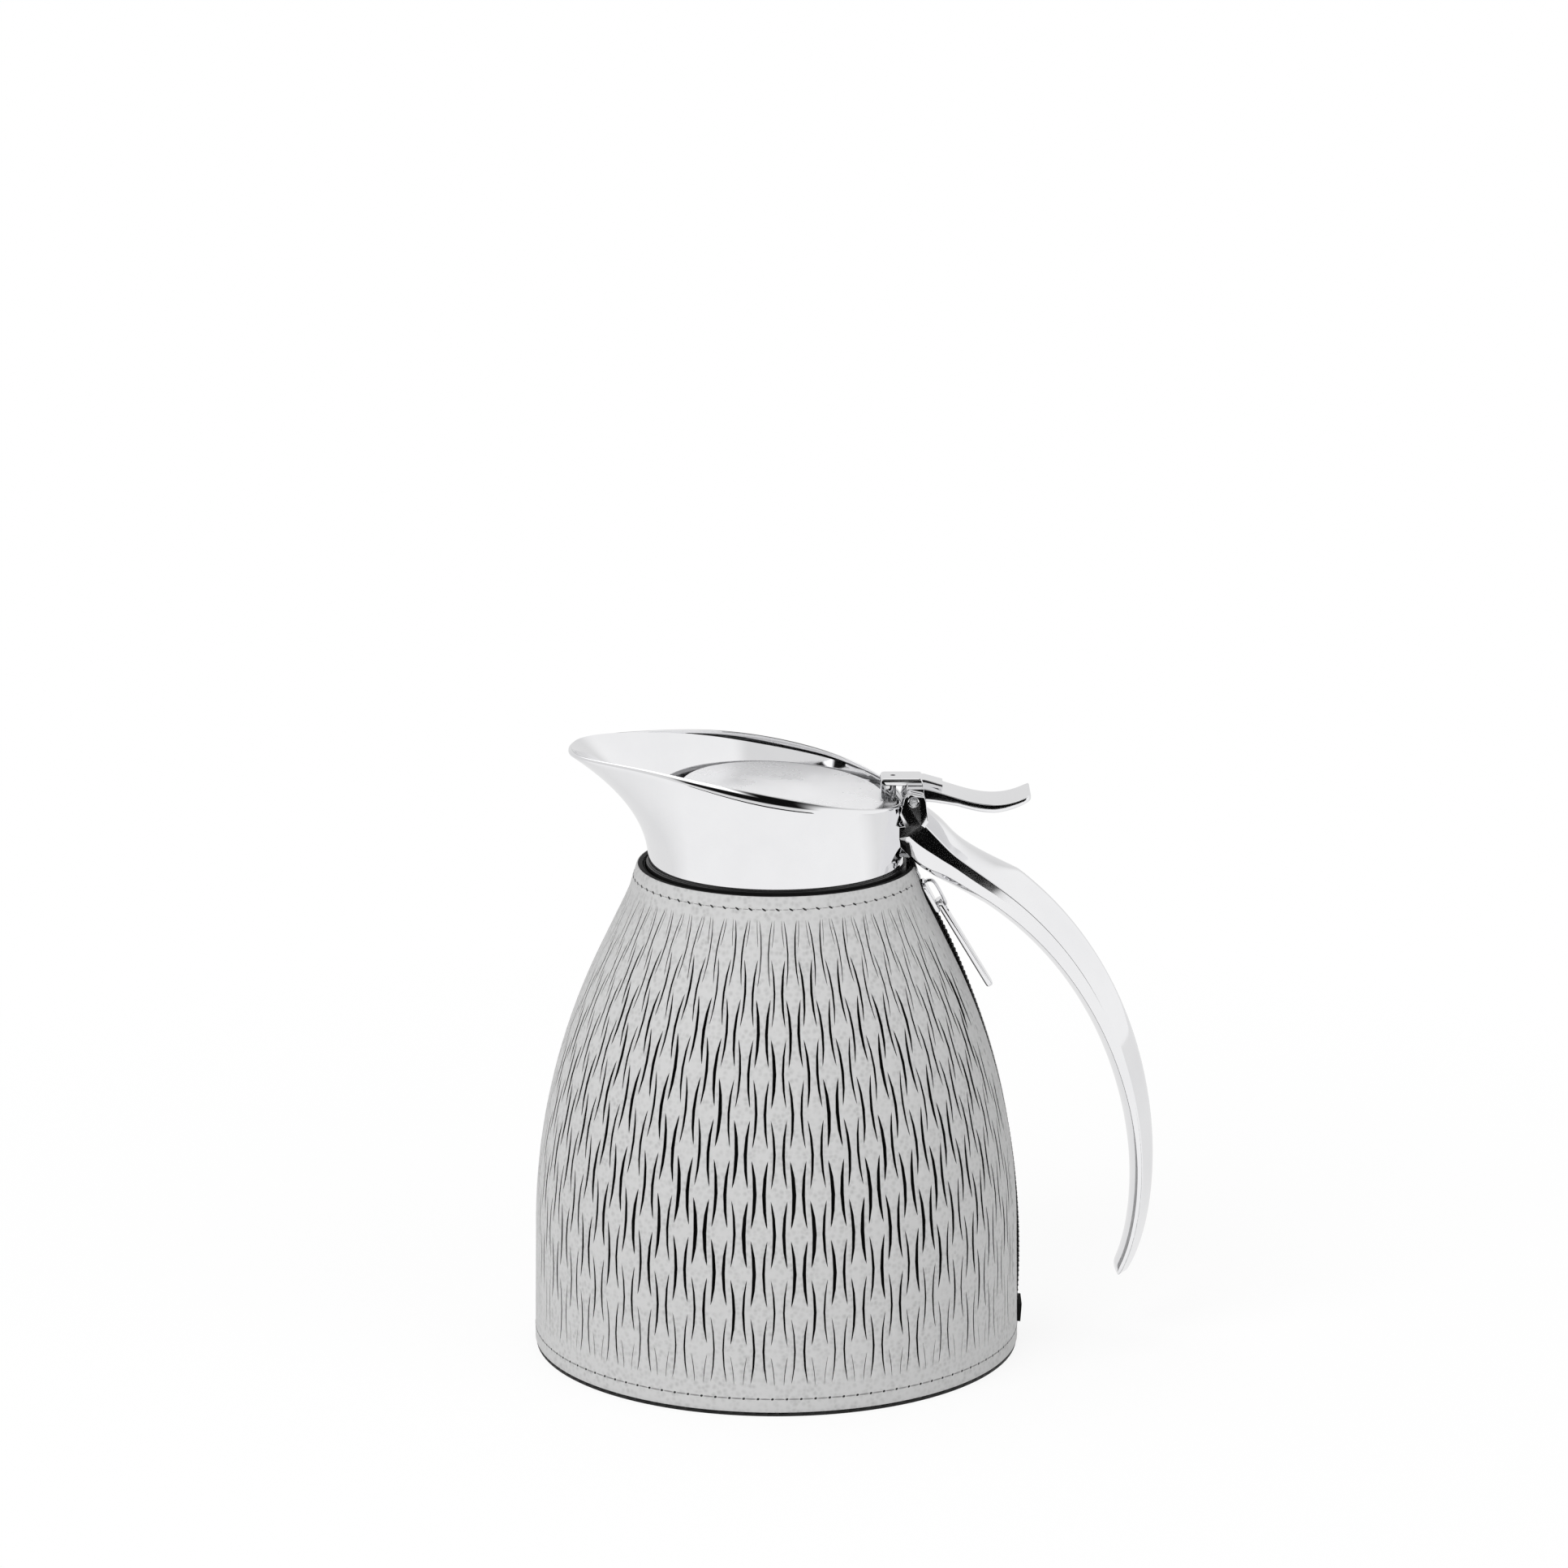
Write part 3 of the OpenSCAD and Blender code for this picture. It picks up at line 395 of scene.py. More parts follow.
# Slot: name, the two shades, roughness and, where it isn't 0.4 mm, the size of the grain
MOULDED = {
    "zip_teeth": ("black nylon coil", "#0A0A0A", "#191919", 0.35),
    "thread": ("black waxed thread", "#141414", "#2A2A2A", 0.6, 0.2),
    # The grey thread is darker than the leather round it: painted shade of the groove it lies in, on the
    # thread's own grey
    "grey_thread_and_groove_shade": ("grey waxed thread with painted groove shade", "#7E7E7E", "#9A9A9A", 0.6, 0.2),
    "base_board": ("black fibre board", "#0C0C0C", "#1A1A1A", 0.75, 0.8),
    "black_plastic": ("black moulded plastic", "#101010", "#1B1B1B", 0.4),
    "rubber": ("black rubber", "#121212", "#1C1C1C", 0.8),
    "silicone": ("translucent white silicone", "#D8D8D4", "#E6E6E2", 0.45),
}


def make_finishes(cover, metal):
    """Every finish by the record's slot name, and a few more for small pieces."""
    tint = tuple(metal.chrome_tint)
    FINISHES.update({
        "leather": leather_material(tuple(cover.leather_dark), tuple(cover.leather_light)),
        "leather_edge_and_slit_shade": edge_paint_and_slit_shade_material(),
        "lining": cloth_material("black woven lining", linear("#0A0A0A"), linear("#161616"), 3.0),
        "zip_tape": cloth_material("black polyester zip tape", linear("#0B0B0B"), linear("#1C1C1C"), 2.0),
        "chrome": chrome_material("polished chrome plate", tint, metal.chrome_roughness),
        "satin_chrome": chrome_material("satin chrome plate", tint, metal.lid_roughness, metallic=0.4),
        "steel": turned_steel_material(),
        "silvered_glass": chrome_material("silvered glass", linear("#DDE2E6"), 0.03, 25.0),
    })
    for slot, (name, first, second, *rest) in MOULDED.items():
        FINISHES[slot] = moulded_material(name, linear(first), linear(second), *rest)


# ---------------------------------------------------------------- leather cover

# Heights and radii of the cover in millimetres: straight foot, round side, cone and top band
BASE_R, FOOT_TAPER, FOOT_Z, CONE_Z, BAND_Z, COVER_H = 62.5, 0.4, 30.0, 104.0, 119.5, 126.7
SIDE_CENTRE, SIDE_RADIUS, CONE_R, BAND_R, TOP_R = -107.909, 170.009, 45.15, 37.7, 35.5
DISC_T, LEATHER_T, ZIP_FOOT, ZIP_HALF = 1.0, 1.4, 5.0, 4.5
# The radius on which the leather is unrolled
FLAT_R = 60.0
AROUND = 2 * math.pi * FLAT_R
RIM_ROUND, SLIT_ROUND = 0.25, 0.1
SLIT_POINTS, GRID_ROW, GRID_STEP, GRID_CLEAR = 12, 2.6, 2.9, 0.85
BORDER_FOOT, BORDER_RISE, BORDER_TOP = 126, 40, 100
# A pair of slits: half its gap at the waist, its bow, the first pair's angle, and the pairs tried each way
SLIT_GAP, SLIT_BOW, SLIT_START, SLIT_TRIES = 1.14, 0.9, math.radians(-3.95), 40
# The lengths up the side between which pairs narrow, the radius of full width and the plain slit's width
NARROW_LOW, NARROW_HIGH, FULL_R, PLAIN_WIDTH = 8.0, 122.0, 60.5, 0.8
# Each row's slit width in millimetres, from the base up
ROW_WIDTHS = (0.46, 0.62, 0.78, 0.85, 0.85, 0.82, 0.78, 0.74, 0.66, 0.5, 0.34)


def cover_r(z):
    """The cover's outer radius at a height."""
    if z < FOOT_Z:
        return BASE_R - FOOT_TAPER * z / FOOT_Z
    if z < CONE_Z:
        return SIDE_CENTRE + math.sqrt(SIDE_RADIUS**2 - (z - FOOT_Z) ** 2)
    if z < BAND_Z:
        return mix(CONE_R, BAND_R, (z - CONE_Z) / (BAND_Z - CONE_Z))
    return mix(BAND_R, TOP_R, (z - BAND_Z) / (COVER_H - BAND_Z))


def measure_side(step):
    """Heights at equal steps of length up the cover's side."""
    heights, z = [], DISC_T
    while z < COVER_H:
        heights.append(z)
        lean = (cover_r(z + 0.01) - cover_r(z)) / 0.01
        z += step / math.hypot(1, lean)
    return heights + [COVER_H]


SIDE_STEP = 0.1
SIDE_HEIGHTS = measure_side(SIDE_STEP)
SIDE_LENGTH = SIDE_STEP * (len(SIDE_HEIGHTS) - 1)


def height_at(s):
    """Height of a point at a length up the cover's side."""
    k = max(0.0, min(len(SIDE_HEIGHTS) - 1.001, s / SIDE_STEP))
    return mix(SIDE_HEIGHTS[int(k)], SIDE_HEIGHTS[int(k) + 1], k - int(k))


def length_at(z):
    """Length up the cover's side of a point at a height."""
    low = max(i for i, height in enumerate(SIDE_HEIGHTS[:-1]) if height <= z)
    return SIDE_STEP * (low + (z - SIDE_HEIGHTS[low]) / (SIDE_HEIGHTS[low + 1] - SIDE_HEIGHTS[low]))


def on_cover(u, s, depth=0.0):
    """A point of the unrolled leather put round the pot, at a depth below its face."""
    z = height_at(s)
    r, a = cover_r(z) - depth, u / FLAT_R
    return (r * math.cos(a), r * math.sin(a), z)


def slit_loop(angle, row, span, side, width, gap, bow, reach):
    """One slit laid flat, as (across, along, normal across, normal along, has a wall) points."""
    points = []
    for j in range(SLIT_POINTS):
        a = 2 * math.pi * j / SLIT_POINTS
        t = mix(span[0], span[1], (math.cos(a) + 1) / 2)
        s = row + t * reach
        r = cover_r(height_at(s))
        half = width / 2 * math.copysign(abs(math.sin(a)) ** 1.3, math.sin(a))
        x = side * (gap + bow * t * t) - half
        n = Vector((math.sin(a), -0.25 * math.cos(a))).normalized()
        points.append((FLAT_R * (angle + x / r), s, n.x * FLAT_R / r, n.y, True))
    return points


def slit_loops(cover):
    """Every slit of the cover: bowed pairs in rows, each row half a pitch on from the last."""
    draw = random.Random(11)
    count = len(ROW_WIDTHS)
    rows = [(i, width, (-1.0, 1.0)) for i, width in enumerate(ROW_WIDTHS)]
    # Short cuts finish the pattern below the first row and above the last
    rows += [(-1, 0.15, (0.13, 1.0)), (count, 0.13, (-1.0, -0.17))]
    reach, pitch, margin = cover.slit_length / MM / 2, cover.pair_pitch, cover.zip_margin / MM
    loops = []
    for i, width, span in rows:
        row = cover.first_row / MM + cover.row_step / MM * i
        r = cover_r(height_at(max(NARROW_LOW, min(NARROW_HIGH, row))))
        # Pairs draw together where the cover narrows
        fit = 0.35 + 0.65 * r / FULL_R
        start = SLIT_START + (pitch / 2 if (count - 1 - i) % 2 else 0.0)
        for k in range(-SLIT_TRIES, SLIT_TRIES + 1):
            phi = start + pitch * k
            for side in (-1, 1):
                share = draw.uniform(0.75, 1.25)
                off_zip = (math.pi / 2 - phi) * r
                if off_zip < margin or (phi + 1.5 * math.pi) * r < margin:
                    continue
                # The slits beside the upper zip are pulled open
                stretch = 1.0 + 0.7 * math.exp(-((off_zip - 17) / 5) ** 2 - ((i - 8.0) / 1.6) ** 2)
                cut = width * share * stretch * cover.slit_width / (PLAIN_WIDTH * MM)
                spot = phi + 1.5 * math.pi
                loops.append(slit_loop(spot, row, span, side, cut, SLIT_GAP * fit, SLIT_BOW * fit, reach))
    return loops


def cover_border():
    """The leather's own edge laid flat, as the same kind of points as a slit's."""
    top, foot = SIDE_LENGTH, length_at(ZIP_FOOT)
    rise = BORDER_RISE
    levels = [mix(foot, top, k / rise) for k in range(rise + 1)]
    radii = [cover_r(height_at(s)) for s in levels]
    half = [FLAT_R * math.asin(ZIP_HALF / r) for r in radii]
    points = [(AROUND * k / BORDER_FOOT, 0.0, 0, -1, True) for k in range(BORDER_FOOT)]
    points += [(AROUND, 0.0, 0, -1, False), (AROUND, foot * 0.5, 0, 0, False)]
    points += [(AROUND, foot, 0, 1, True), (AROUND - half[0] / 2, foot, 0, 1, True)]
    for k in range(rise + 1):
        points.append((AROUND - half[k], levels[k], FLAT_R / radii[k], int(k in (0, rise)), True))
    wide = AROUND - 2 * half[-1]
    points += [(half[-1] + wide * (1 - k / BORDER_TOP), top, 0, 1, True) for k in range(1, BORDER_TOP)]
    for k in range(rise, -1, -1):
        points.append((half[k], levels[k], -FLAT_R / radii[k], int(k in (0, rise)), True))
    points += [(half[0] / 2, foot, 0, 1, True), (0.0, foot, 0, 1, False), (0.0, foot * 0.5, 0, 0, False)]
    return points


def fill_points(near):
    """Points of a staggered grid over the flat leather, clear of its edges and of the points near them."""
    tree = kdtree.KDTree(len(near))
    for k, (u, s) in enumerate(near):
        tree.insert((u, s, 0.0), k)
    tree.balance()
    points = []
    for row in range(int(SIDE_LENGTH / GRID_ROW)):
        s = GRID_ROW / 2 + GRID_ROW * row
        r = cover_r(height_at(s))
        step = GRID_STEP * FLAT_R / r
        edge = (ZIP_HALF + 1.0) * FLAT_R / r if s > length_at(ZIP_FOOT) - 1 else 1.0
        for k in range(int(AROUND / step) + 1):
            u = step * (k + 0.5 * (row % 2))
            if u < edge or u > AROUND - edge or s > SIDE_LENGTH - 1:
                continue
            if tree.find((u, s, 0.0))[2] > GRID_CLEAR:
                points.append((u, s))
    return points


def leather_mesh(cover):
    """The slit leather as one closed skin: outer face, rounded rims, cut walls and back."""
    loops = [(cover_border(), RIM_ROUND)] + [(loop, SLIT_ROUND) for loop in slit_loops(cover)]
    spots, nominal, outlines, near = [], [], [], []
    for points, chamfer in loops:
        outlines.append(list(range(len(spots), len(spots) + len(points))))
        shares = (0.0, 0.33, 0.67) if len(points) == SLIT_POINTS else (0.0,)
        for k, (u, s, nu, ns, _) in enumerate(points):
            spots.append(Vector((u - nu * chamfer, s - ns * chamfer)))
            nominal.append((u, s))
            after = points[(k + 1) % len(points)]
            near += [(mix(u, after[0], t), mix(s, after[1], t)) for t in shares]
    filled = fill_points(near)
    spots += [Vector(p) for p in filled]
    nominal += filled
    flat, _, tris, from_points, _, from_faces = delaunay_2d_cdt(spots, [], outlines, 1, 1e-5)
    place = {}
    for k, sources in enumerate(from_points):
        for source in sources:
            place[source] = k
    verts = [on_cover(p.x, p.y) for p in flat]
    count = len(flat)
    for k, sources in enumerate(from_points):
        u, s = nominal[sources[0]] if sources else flat[k]
        verts.append(on_cover(u, s, LEATHER_T))
    front = [tuple(tri) for tri, owners in zip(tris, from_faces) if owners == [0]]
    faces = front + [tuple(i + count for i in tri[::-1]) for tri in front]
    picks = [0] * len(faces)
    start = 0
    for points, chamfer in loops:
        n, low = len(points), len(verts)
        for share, depth in ((0.3, 0.3 * chamfer), (0.0, chamfer)):
            for u, s, nu, ns, _ in points:
                verts.append(on_cover(u - nu * chamfer * share, s - ns * chamfer * share, depth))
        for k in range(n):
            if not points[k][4]:
                continue
            m = (k + 1) % n
            top = (place[start + k], place[start + m])
            rows = [top, (low + k, low + m), (low + n + k, low + n + m), (top[0] + count, top[1] + count)]
            for level in range(3):
                (a, b), (c, d) = rows[level], rows[level + 1]
                faces.append((a, b, d, c))
                # The deepest band of each wall takes the black finish: edge paint on the rims, painted shade
                # in the slits
                picks.append(1 if level == 2 else 0)
        start += n
    return verts, faces, picks


def build_cover(cover):
    verts, faces, picks = leather_mesh(cover)
    finishes = [FINISHES["leather"], FINISHES["leather_edge_and_slit_shade"]]
    piece = make_piece("cover", verts, faces, finishes, picks, angle=30.0)
    settle(piece, "leather_cover", "pot", "leather", "leather_wrap")


# ---------------------------------------------------------------- collar

COLLAR_R, COLLAR_Z, COLLAR_T, TIP_X, RIM_Z = 32.6, 127.2, 1.4, 52.6, 156.8
MOUTH_R, WALL_STEPS, ROLL_STEPS, LIP = 24.7, 28, 12, 0.22
# The wall flares a little all round and far at the spout; by the handle it stands upright
FLARE, SPOUT_FLARE, SPOUT_ANGLE, SPOUT_POWER, UPRIGHT_FROM, UPRIGHT_BAND = 1.8, 18.2, 25.8, 2.9, 160, 52
# The rim rolls in least at the spout and the handle and most at the sides, and falls towards the handle
ROLL_LEAST, ROLL_SIDES, ROLL_BAND, ROLL_TURN, RIM_FALL, COLLAR_RINGS = 0.75, 1.85, 40, 84, 13.6, 240


def rim_reach(s):
    """The collar's reach from the axis at its widest line; s is the angle off the spout in degrees."""
    flare = FLARE + SPOUT_FLARE / (1 + (s / SPOUT_ANGLE) ** SPOUT_POWER)
    return COLLAR_R + flare * ease((UPRIGHT_FROM - s) / UPRIGHT_BAND)


def roll_in(s):
    """How far the rolled rim turns in from the widest line."""
    return ROLL_LEAST + ROLL_SIDES * math.exp(-(((s - 90) / ROLL_BAND) ** 2))


def rim_height(x):
    return RIM_Z - RIM_FALL * max(0.0, (x + TIP_X) / (TIP_X + COLLAR_R)) ** 2


def collar_section(a):
    """The collar's wall at an angle from +X, as (radius, height) from the foot over the rim to the floor."""
    s = abs(math.degrees(a) % 360 - 180)
    reach, roll = rim_reach(s), roll_in(s)
    top = rim_height((reach - roll) * math.cos(a))
    rise = 1.1 * roll
    wide = top - rise
    outer = []
    for k in range(WALL_STEPS + 1):
        t = mix(0.02, 1.0, k / WALL_STEPS)
        outer.append(Vector((mix(COLLAR_R, reach, t**2.1), mix(COLLAR_Z, wide, t))))
    points = [Vector((COLLAR_R - 0.3, COLLAR_Z)), Vector((COLLAR_R - 0.08, COLLAR_Z + 0.08))] + outer
    # The rolled rim leaves the wall in the wall's own direction
    lean = math.atan2(reach - outer[-2].x, wide - outer[-2].y)
    for k in range(1, ROLL_STEPS + 1):
        turn = math.radians(ROLL_TURN * k / ROLL_STEPS)
        carry = math.sin(lean) * roll * 0.35 * math.sin(2 * turn) * (1 - k / ROLL_STEPS)
        points.append(Vector((reach - roll * (1 - math.cos(turn)) + carry, wide + rise * math.sin(turn))))
    for k in range(1, 5):
        turn = math.pi / 2 * k / 4
        points.append(Vector((reach - roll + 0.1 - LIP * math.sin(turn), top - LIP * (1 - math.cos(turn)))))
    points += [Vector((reach - roll - 0.12, top - 0.8)), Vector((reach - roll - 0.05, top - 1.05))]
    for k in range(WALL_STEPS, 3, -1):
        step = (outer[min(k + 1, WALL_STEPS)] - outer[k - 1]).normalized()
        points.append(outer[k] + Vector((-step.y, step.x)) * COLLAR_T)
    inner = COLLAR_R - COLLAR_T
    for r, z in ((inner, 2.6), (inner - 0.3, 1.9), (inner - 1.0, 1.6), (MOUTH_R, 1.6), (MOUTH_R, 0.0)):
        points.append(Vector((r, COLLAR_Z + z)))
    return [(p.x, p.y) for p in points]


def build_collar():
    rings = []
    for k in range(COLLAR_RINGS):
        a = 2 * math.pi * k / COLLAR_RINGS
        rings.append([(r * math.cos(a), r * math.sin(a), z) for r, z in collar_section(a)])
    piece = make_piece("wall", *loft(rings, joined=True), [FINISHES["chrome"]], angle=CAST_SHARP)
    settle(piece, "pouring_collar", "pot", "chrome", "collar")


# ---------------------------------------------------------------- handle

# The pin's bore and the sunk recess round its ends, which starts this far from the middle
PIN_X, PIN_Z, PIN_BORE, PIN_SINK, SINK_FLOOR = 34.65, 144.65, 1.05, 1.45, 9.4
# Reach of a cutting tool, well past the ears
PAST_EARS = 14
# The ridge and the edge between crest and side wall, from the ears to the bend and from there to the free end
CREST_ROOT = ((38.3, 140.8), (46.7, 135.2), (41.3, 134.1), (61.7, 125.0))
CREST_GRIP = ((61.7, 125.0), (103.4, 92.3), (101.4, 31.9), (89.9, 16.5))
EDGE_ROOT = ((37.2, 139.2), (46.8, 129.1), (41.9, 133.4), (56.9, 122.3))
EDGE_GRIP = ((56.9, 122.3), (96.7, 92.8), (99.5, 37.4), (88.4, 17.6))
# Share, wall's height, bevel's depth, depth of the back's middle under the edge, and the bevel's inset
SIDE_STATIONS = ((0.0, 5.2, 3.6, 9.8, 1.0), (0.3, 3.5, 4.3, 9.6, 1.1), (0.6, 2.7, 3.1, 8.9, 0.9),
                 (0.9, 2.6, 2.5, 7.6, 0.8), (1.1, 2.0, 2.1, 6.2, 0.7), (1.3, 0.7, 2.3, 4.8, 0.6),
                 (1.6, 0.4, 1.0, 3.2, 0.35), (2.0, 0.3, 0.8, 2.0, 0.3))
EAR_OUTLINE = ((33.0, 137.0), (31.2, 141.4), (31.9, 143.6), (32.4, 145.8), (33.6, 147.0), (37.3, 146.2),
               (37.8, 144.9), (38.5, 139.4), (36.6, 136.9))
EAR_ROUNDS = (0, 0, 1.0, 1.6, 1.0, 0.9, 0.8, 1.2, 0)
EAR_GAP = ((20.0, 141.4), (20.0, 152.0), (45.0, 152.0), (45.0, 141.4))
GRIP_HALF, TIP_HALF, EAR_T = 10.2, 5.5, 2.6
LEAN_LOW, LEAN_HIGH = 118.0, 137.0
# How the root's section goes on into the collar, for each unit of share
INTO_COLLAR = Vector((10.0, 1.5))
CREST_STEPS, ROOT_RINGS, GRIP_RINGS, TIP_RINGS = 8, 32, 84, 9
# Keeps the ears' and walls' edges crisp
HANDLE_SHARP = 28.0


def side_value(share, column):
    """A column of the side stations at any share, with the steps between them smoothed."""
    total = 0.0
    for k in range(-2, 3):
        t = clamp((share + k * 0.04) / 2) * 2
        i = max(j for j in range(len(SIDE_STATIONS) - 1) if SIDE_STATIONS[j][0] <= t)
        a, b = SIDE_STATIONS[i], SIDE_STATIONS[i + 1]
        total += mix(a[column], b[column], (t - a[0]) / (b[0] - a[0]))
    return total / 5


def lean_at(z, low, slope):
    """How far a side wall that leans in from a height on has come in."""
    return slope * min(max(z - low, 0.0), LEAN_HIGH - LEAN_LOW)


def grip_station(share, metal, deep=1.0, across=0.0):
    """One section of the handle; share runs from 0 at the ears over 1 at the bend to 2 at the free end."""
    root = share < 1
    u = max(0.0, share if root else share - 1)
    line = EDGE_ROOT if root else EDGE_GRIP
    ridge, edge = bezier(CREST_ROOT if root else CREST_GRIP, u), bezier(line, u)
    run = bezier_slope(line, u).normalized()
    if share < 0:
        ridge, edge = ridge + INTO_COLLAR * share, edge + INTO_COLLAR * share
    n = Vector((run.y, -run.x))
    wall, bevel, back, inset = [side_value(share, k) for k in (1, 2, 3, 4)]
    half = GRIP_HALF if root else mix(GRIP_HALF, TIP_HALF, u**1.3)
    foot, low = edge + n * wall, edge + n * (wall + bevel)
    slope = metal.wall_lean * mix(1.0, 1.8, ease((share - 1) / 0.1))
    start = min(LEAN_LOW, foot.y)
    face, side = half - lean_at(edge.y, start, slope), half - lean_at(foot.y, start, slope)
    # The ridge is rounded over the root and firm along the grip
    soft = mix(0.7, 0.12, ease((share - 0.92) / 0.1))
    points = []
    for k in range(CREST_STEPS):
        t = k / CREST_STEPS
        p = ridge.lerp(edge, (math.sqrt(t * t + soft * soft) - soft) / (math.sqrt(1 + soft * soft) - soft))
        points.append((p.x, face * t, p.y))
    points += [(edge.x, face, edge.y), (foot.x, side, foot.y), (low.x, side - inset, low.y)]
    for k in (0.8, 0.6, 0.4, 0.2, 0.0):
        p = low + n * ((back - wall - bevel) * (1 - k * k))
        points.append((p.x, (side - inset) * k, p.y))
    ring = points + [(x, -y, z) for x, y, z in points[-2:0:-1]]
    radii = [0] * len(ring)
    eased = metal.edge_round / MM
    for k, radius in ((CREST_STEPS, eased), (CREST_STEPS + 1, eased * 0.6), (CREST_STEPS + 2, eased * 0.6)):
        radii[k] = radii[-k] = radius
    middle = (ridge + edge + n * back) / 2
    out = []
    for p in round_corners(ring, radii, 3, 0.12):
        p = Vector(p)
        out.append((mix(middle.x, p.x, deep), p.y * (1 - across / half), mix(middle.y, p.z, deep)))
    return out


def grip_rings(metal):
    """The handle's sections from inside the collar to its rounded free end."""
    rings = [grip_station(-0.9 + 0.15 * k, metal) for k in range(6)]
    rings += [grip_station(k / ROOT_RINGS, metal) for k in range(ROOT_RINGS)]
    span = (bezier(CREST_GRIP, 1.0) - bezier(CREST_GRIP, 0.99)).length * 100
    tip = metal.tip_round / MM
    last = 1 - tip / span
    rings += [grip_station(1 + last * k / GRIP_RINGS, metal) for k in range(GRIP_RINGS)]
    for k in range(TIP_RINGS):
        turn = math.pi / 2 * k / (TIP_RINGS - 0.6)
        share = 2 - tip * (1 - math.sin(turn)) / span
        rings.append(grip_station(share, metal, math.cos(turn), tip * (1 - math.cos(turn))))
    return rings


def build_handle(metal):
    piece = make_piece("grip", *loft(grip_rings(metal)), [FINISHES["chrome"]], angle=HANDLE_SHARP)
    ears = []
    verts, faces = slab(round_corners(EAR_OUTLINE, EAR_ROUNDS), GRIP_HALF - EAR_T, GRIP_HALF, 0.25)
    for side in (-1, 1):
        spots = []
        for x, y, z in verts:
            # The ear's outer face leans in with the grip's wall and stands a hair proud of it
            lean = lean_at(z, LEAN_LOW, metal.wall_lean) - 0.005
            spots.append((x, side * (y - lean * clamp((y - 8) / 1.5)), z))
        ears.append(make_piece("ear", spots, faces, []))
    carve(piece, ears, "UNION", angle=HANDLE_SHARP)
    throat = COLLAR_R + 0.02
    cuts = [make_piece("cut", *lathe(((0, 100), (throat, 100), (throat, 160), (0, 160)), 144), []),
            make_piece("cut", *slab(EAR_GAP, EAR_T - GRIP_HALF, GRIP_HALF - EAR_T, 0.05), [])]
    for radius, low, high in ((PIN_BORE, -PAST_EARS, PAST_EARS), (PIN_SINK, -PAST_EARS, -SINK_FLOOR),
                              (PIN_SINK, SINK_FLOOR, PAST_EARS)):
        cuts.append(make_piece("cut", *rod(PIN_X, PIN_Z, radius, low, high), []))
    carve(piece, cuts, "DIFFERENCE", angle=HANDLE_SHARP)
    settle(piece, "handle_casting", "pot", "chrome", "handle")


# ---------------------------------------------------------------- lid, lever and bridge

LEVER_TOP = ((37.0, 147.6), (45.5, 146.2), (54.0, 140.0), (64.4, 146.0))
LEVER_HALF, LEVER_SPAN, LEVER_TIP, NOSE = 7.45, 29.0, 1.6, 0.45
HUB_OUTLINE = ((33.05, 145.2), (33.05, 147.6), (37.3, 147.6), (37.4, 144.6), (36.9, 143.9))
HUB_R, SPRING_R, SPRING_HALF = 2.1, 2.2, 3.1
BRIDGE_HALF, TONGUE_HALF, KNUCKLE_X, KNUCKLE_Z, KNUCKLE_R, KNUCKLE_HALF = 4.25, 3.5, 27.7, 145.25, 1.3, 3.95
BRIDGE_OUTLINE = ((26.4, 143.9), (26.4, 149.45), (36.9, 149.45), (37.2, 147.6), (27.6, 147.6), (27.6, 143.8))
TONGUE_OUTLINE = ((36.0, 147.62), (36.0, 149.1), (37.6, 149.05), (42.2, 147.75), (42.2, 146.6))
LID_X, LID_Z, LID_SLOPE, LID_T = 1.6, 145.6, math.radians(3.8), 1.6
LID_HALF_X, LID_HALF_Y, POST_X = 26, 31.7, 29.6
POST_OUTLINE = ((0, 141.4), (0.8, 141.4), (0.8, 142.95), (1.4, 143.05), (1.25, 143.4), (0.85, 143.8),
                (0.8, 144.2), (0.8, 146.85), (1.25, 146.92), (1.4, 147.1), (1.4, 147.6), (0.8, 147.6),
                (0.8, 149.3), (0.65, 149.45), (0, 149.45))


def lever_thick(t):
    return mix(3.4, 2.2, t / 0.35) if t < 0.35 else mix(2.2, 1.5, clamp((t - 0.7) / 0.3))


def short_of(radius, left):
    """How far a round of this radius has drawn in, at a distance left to its end."""
    return radius - math.sqrt(max(0.0, radius**2 - (radius - left) ** 2)) if left < radius else 0.0


def lever_section(t, metal):
    """The paddle's section: flat top and bottom, eased edges, its width drawn in at the rounded tip."""
    p, left, thick = bezier(LEVER_TOP, t), (1 - t) * LEVER_SPAN, lever_thick(t)
    half = LEVER_HALF - 0.12 - short_of(metal.lever_corner / MM, left)
    nose = min(short_of(NOSE, left), thick / 2 - 0.2)
    above, below = metal.lever_edge / MM, metal.lever_under / MM
    top = half - metal.wall_lean * thick
    ring = round_corners(((top, 0), (-top, 0), (-half, thick), (half, thick)), (above, above, below, below))
    return [(p.x, x, p.y - min(max(y, nose), thick - nose)) for x, y in ring]


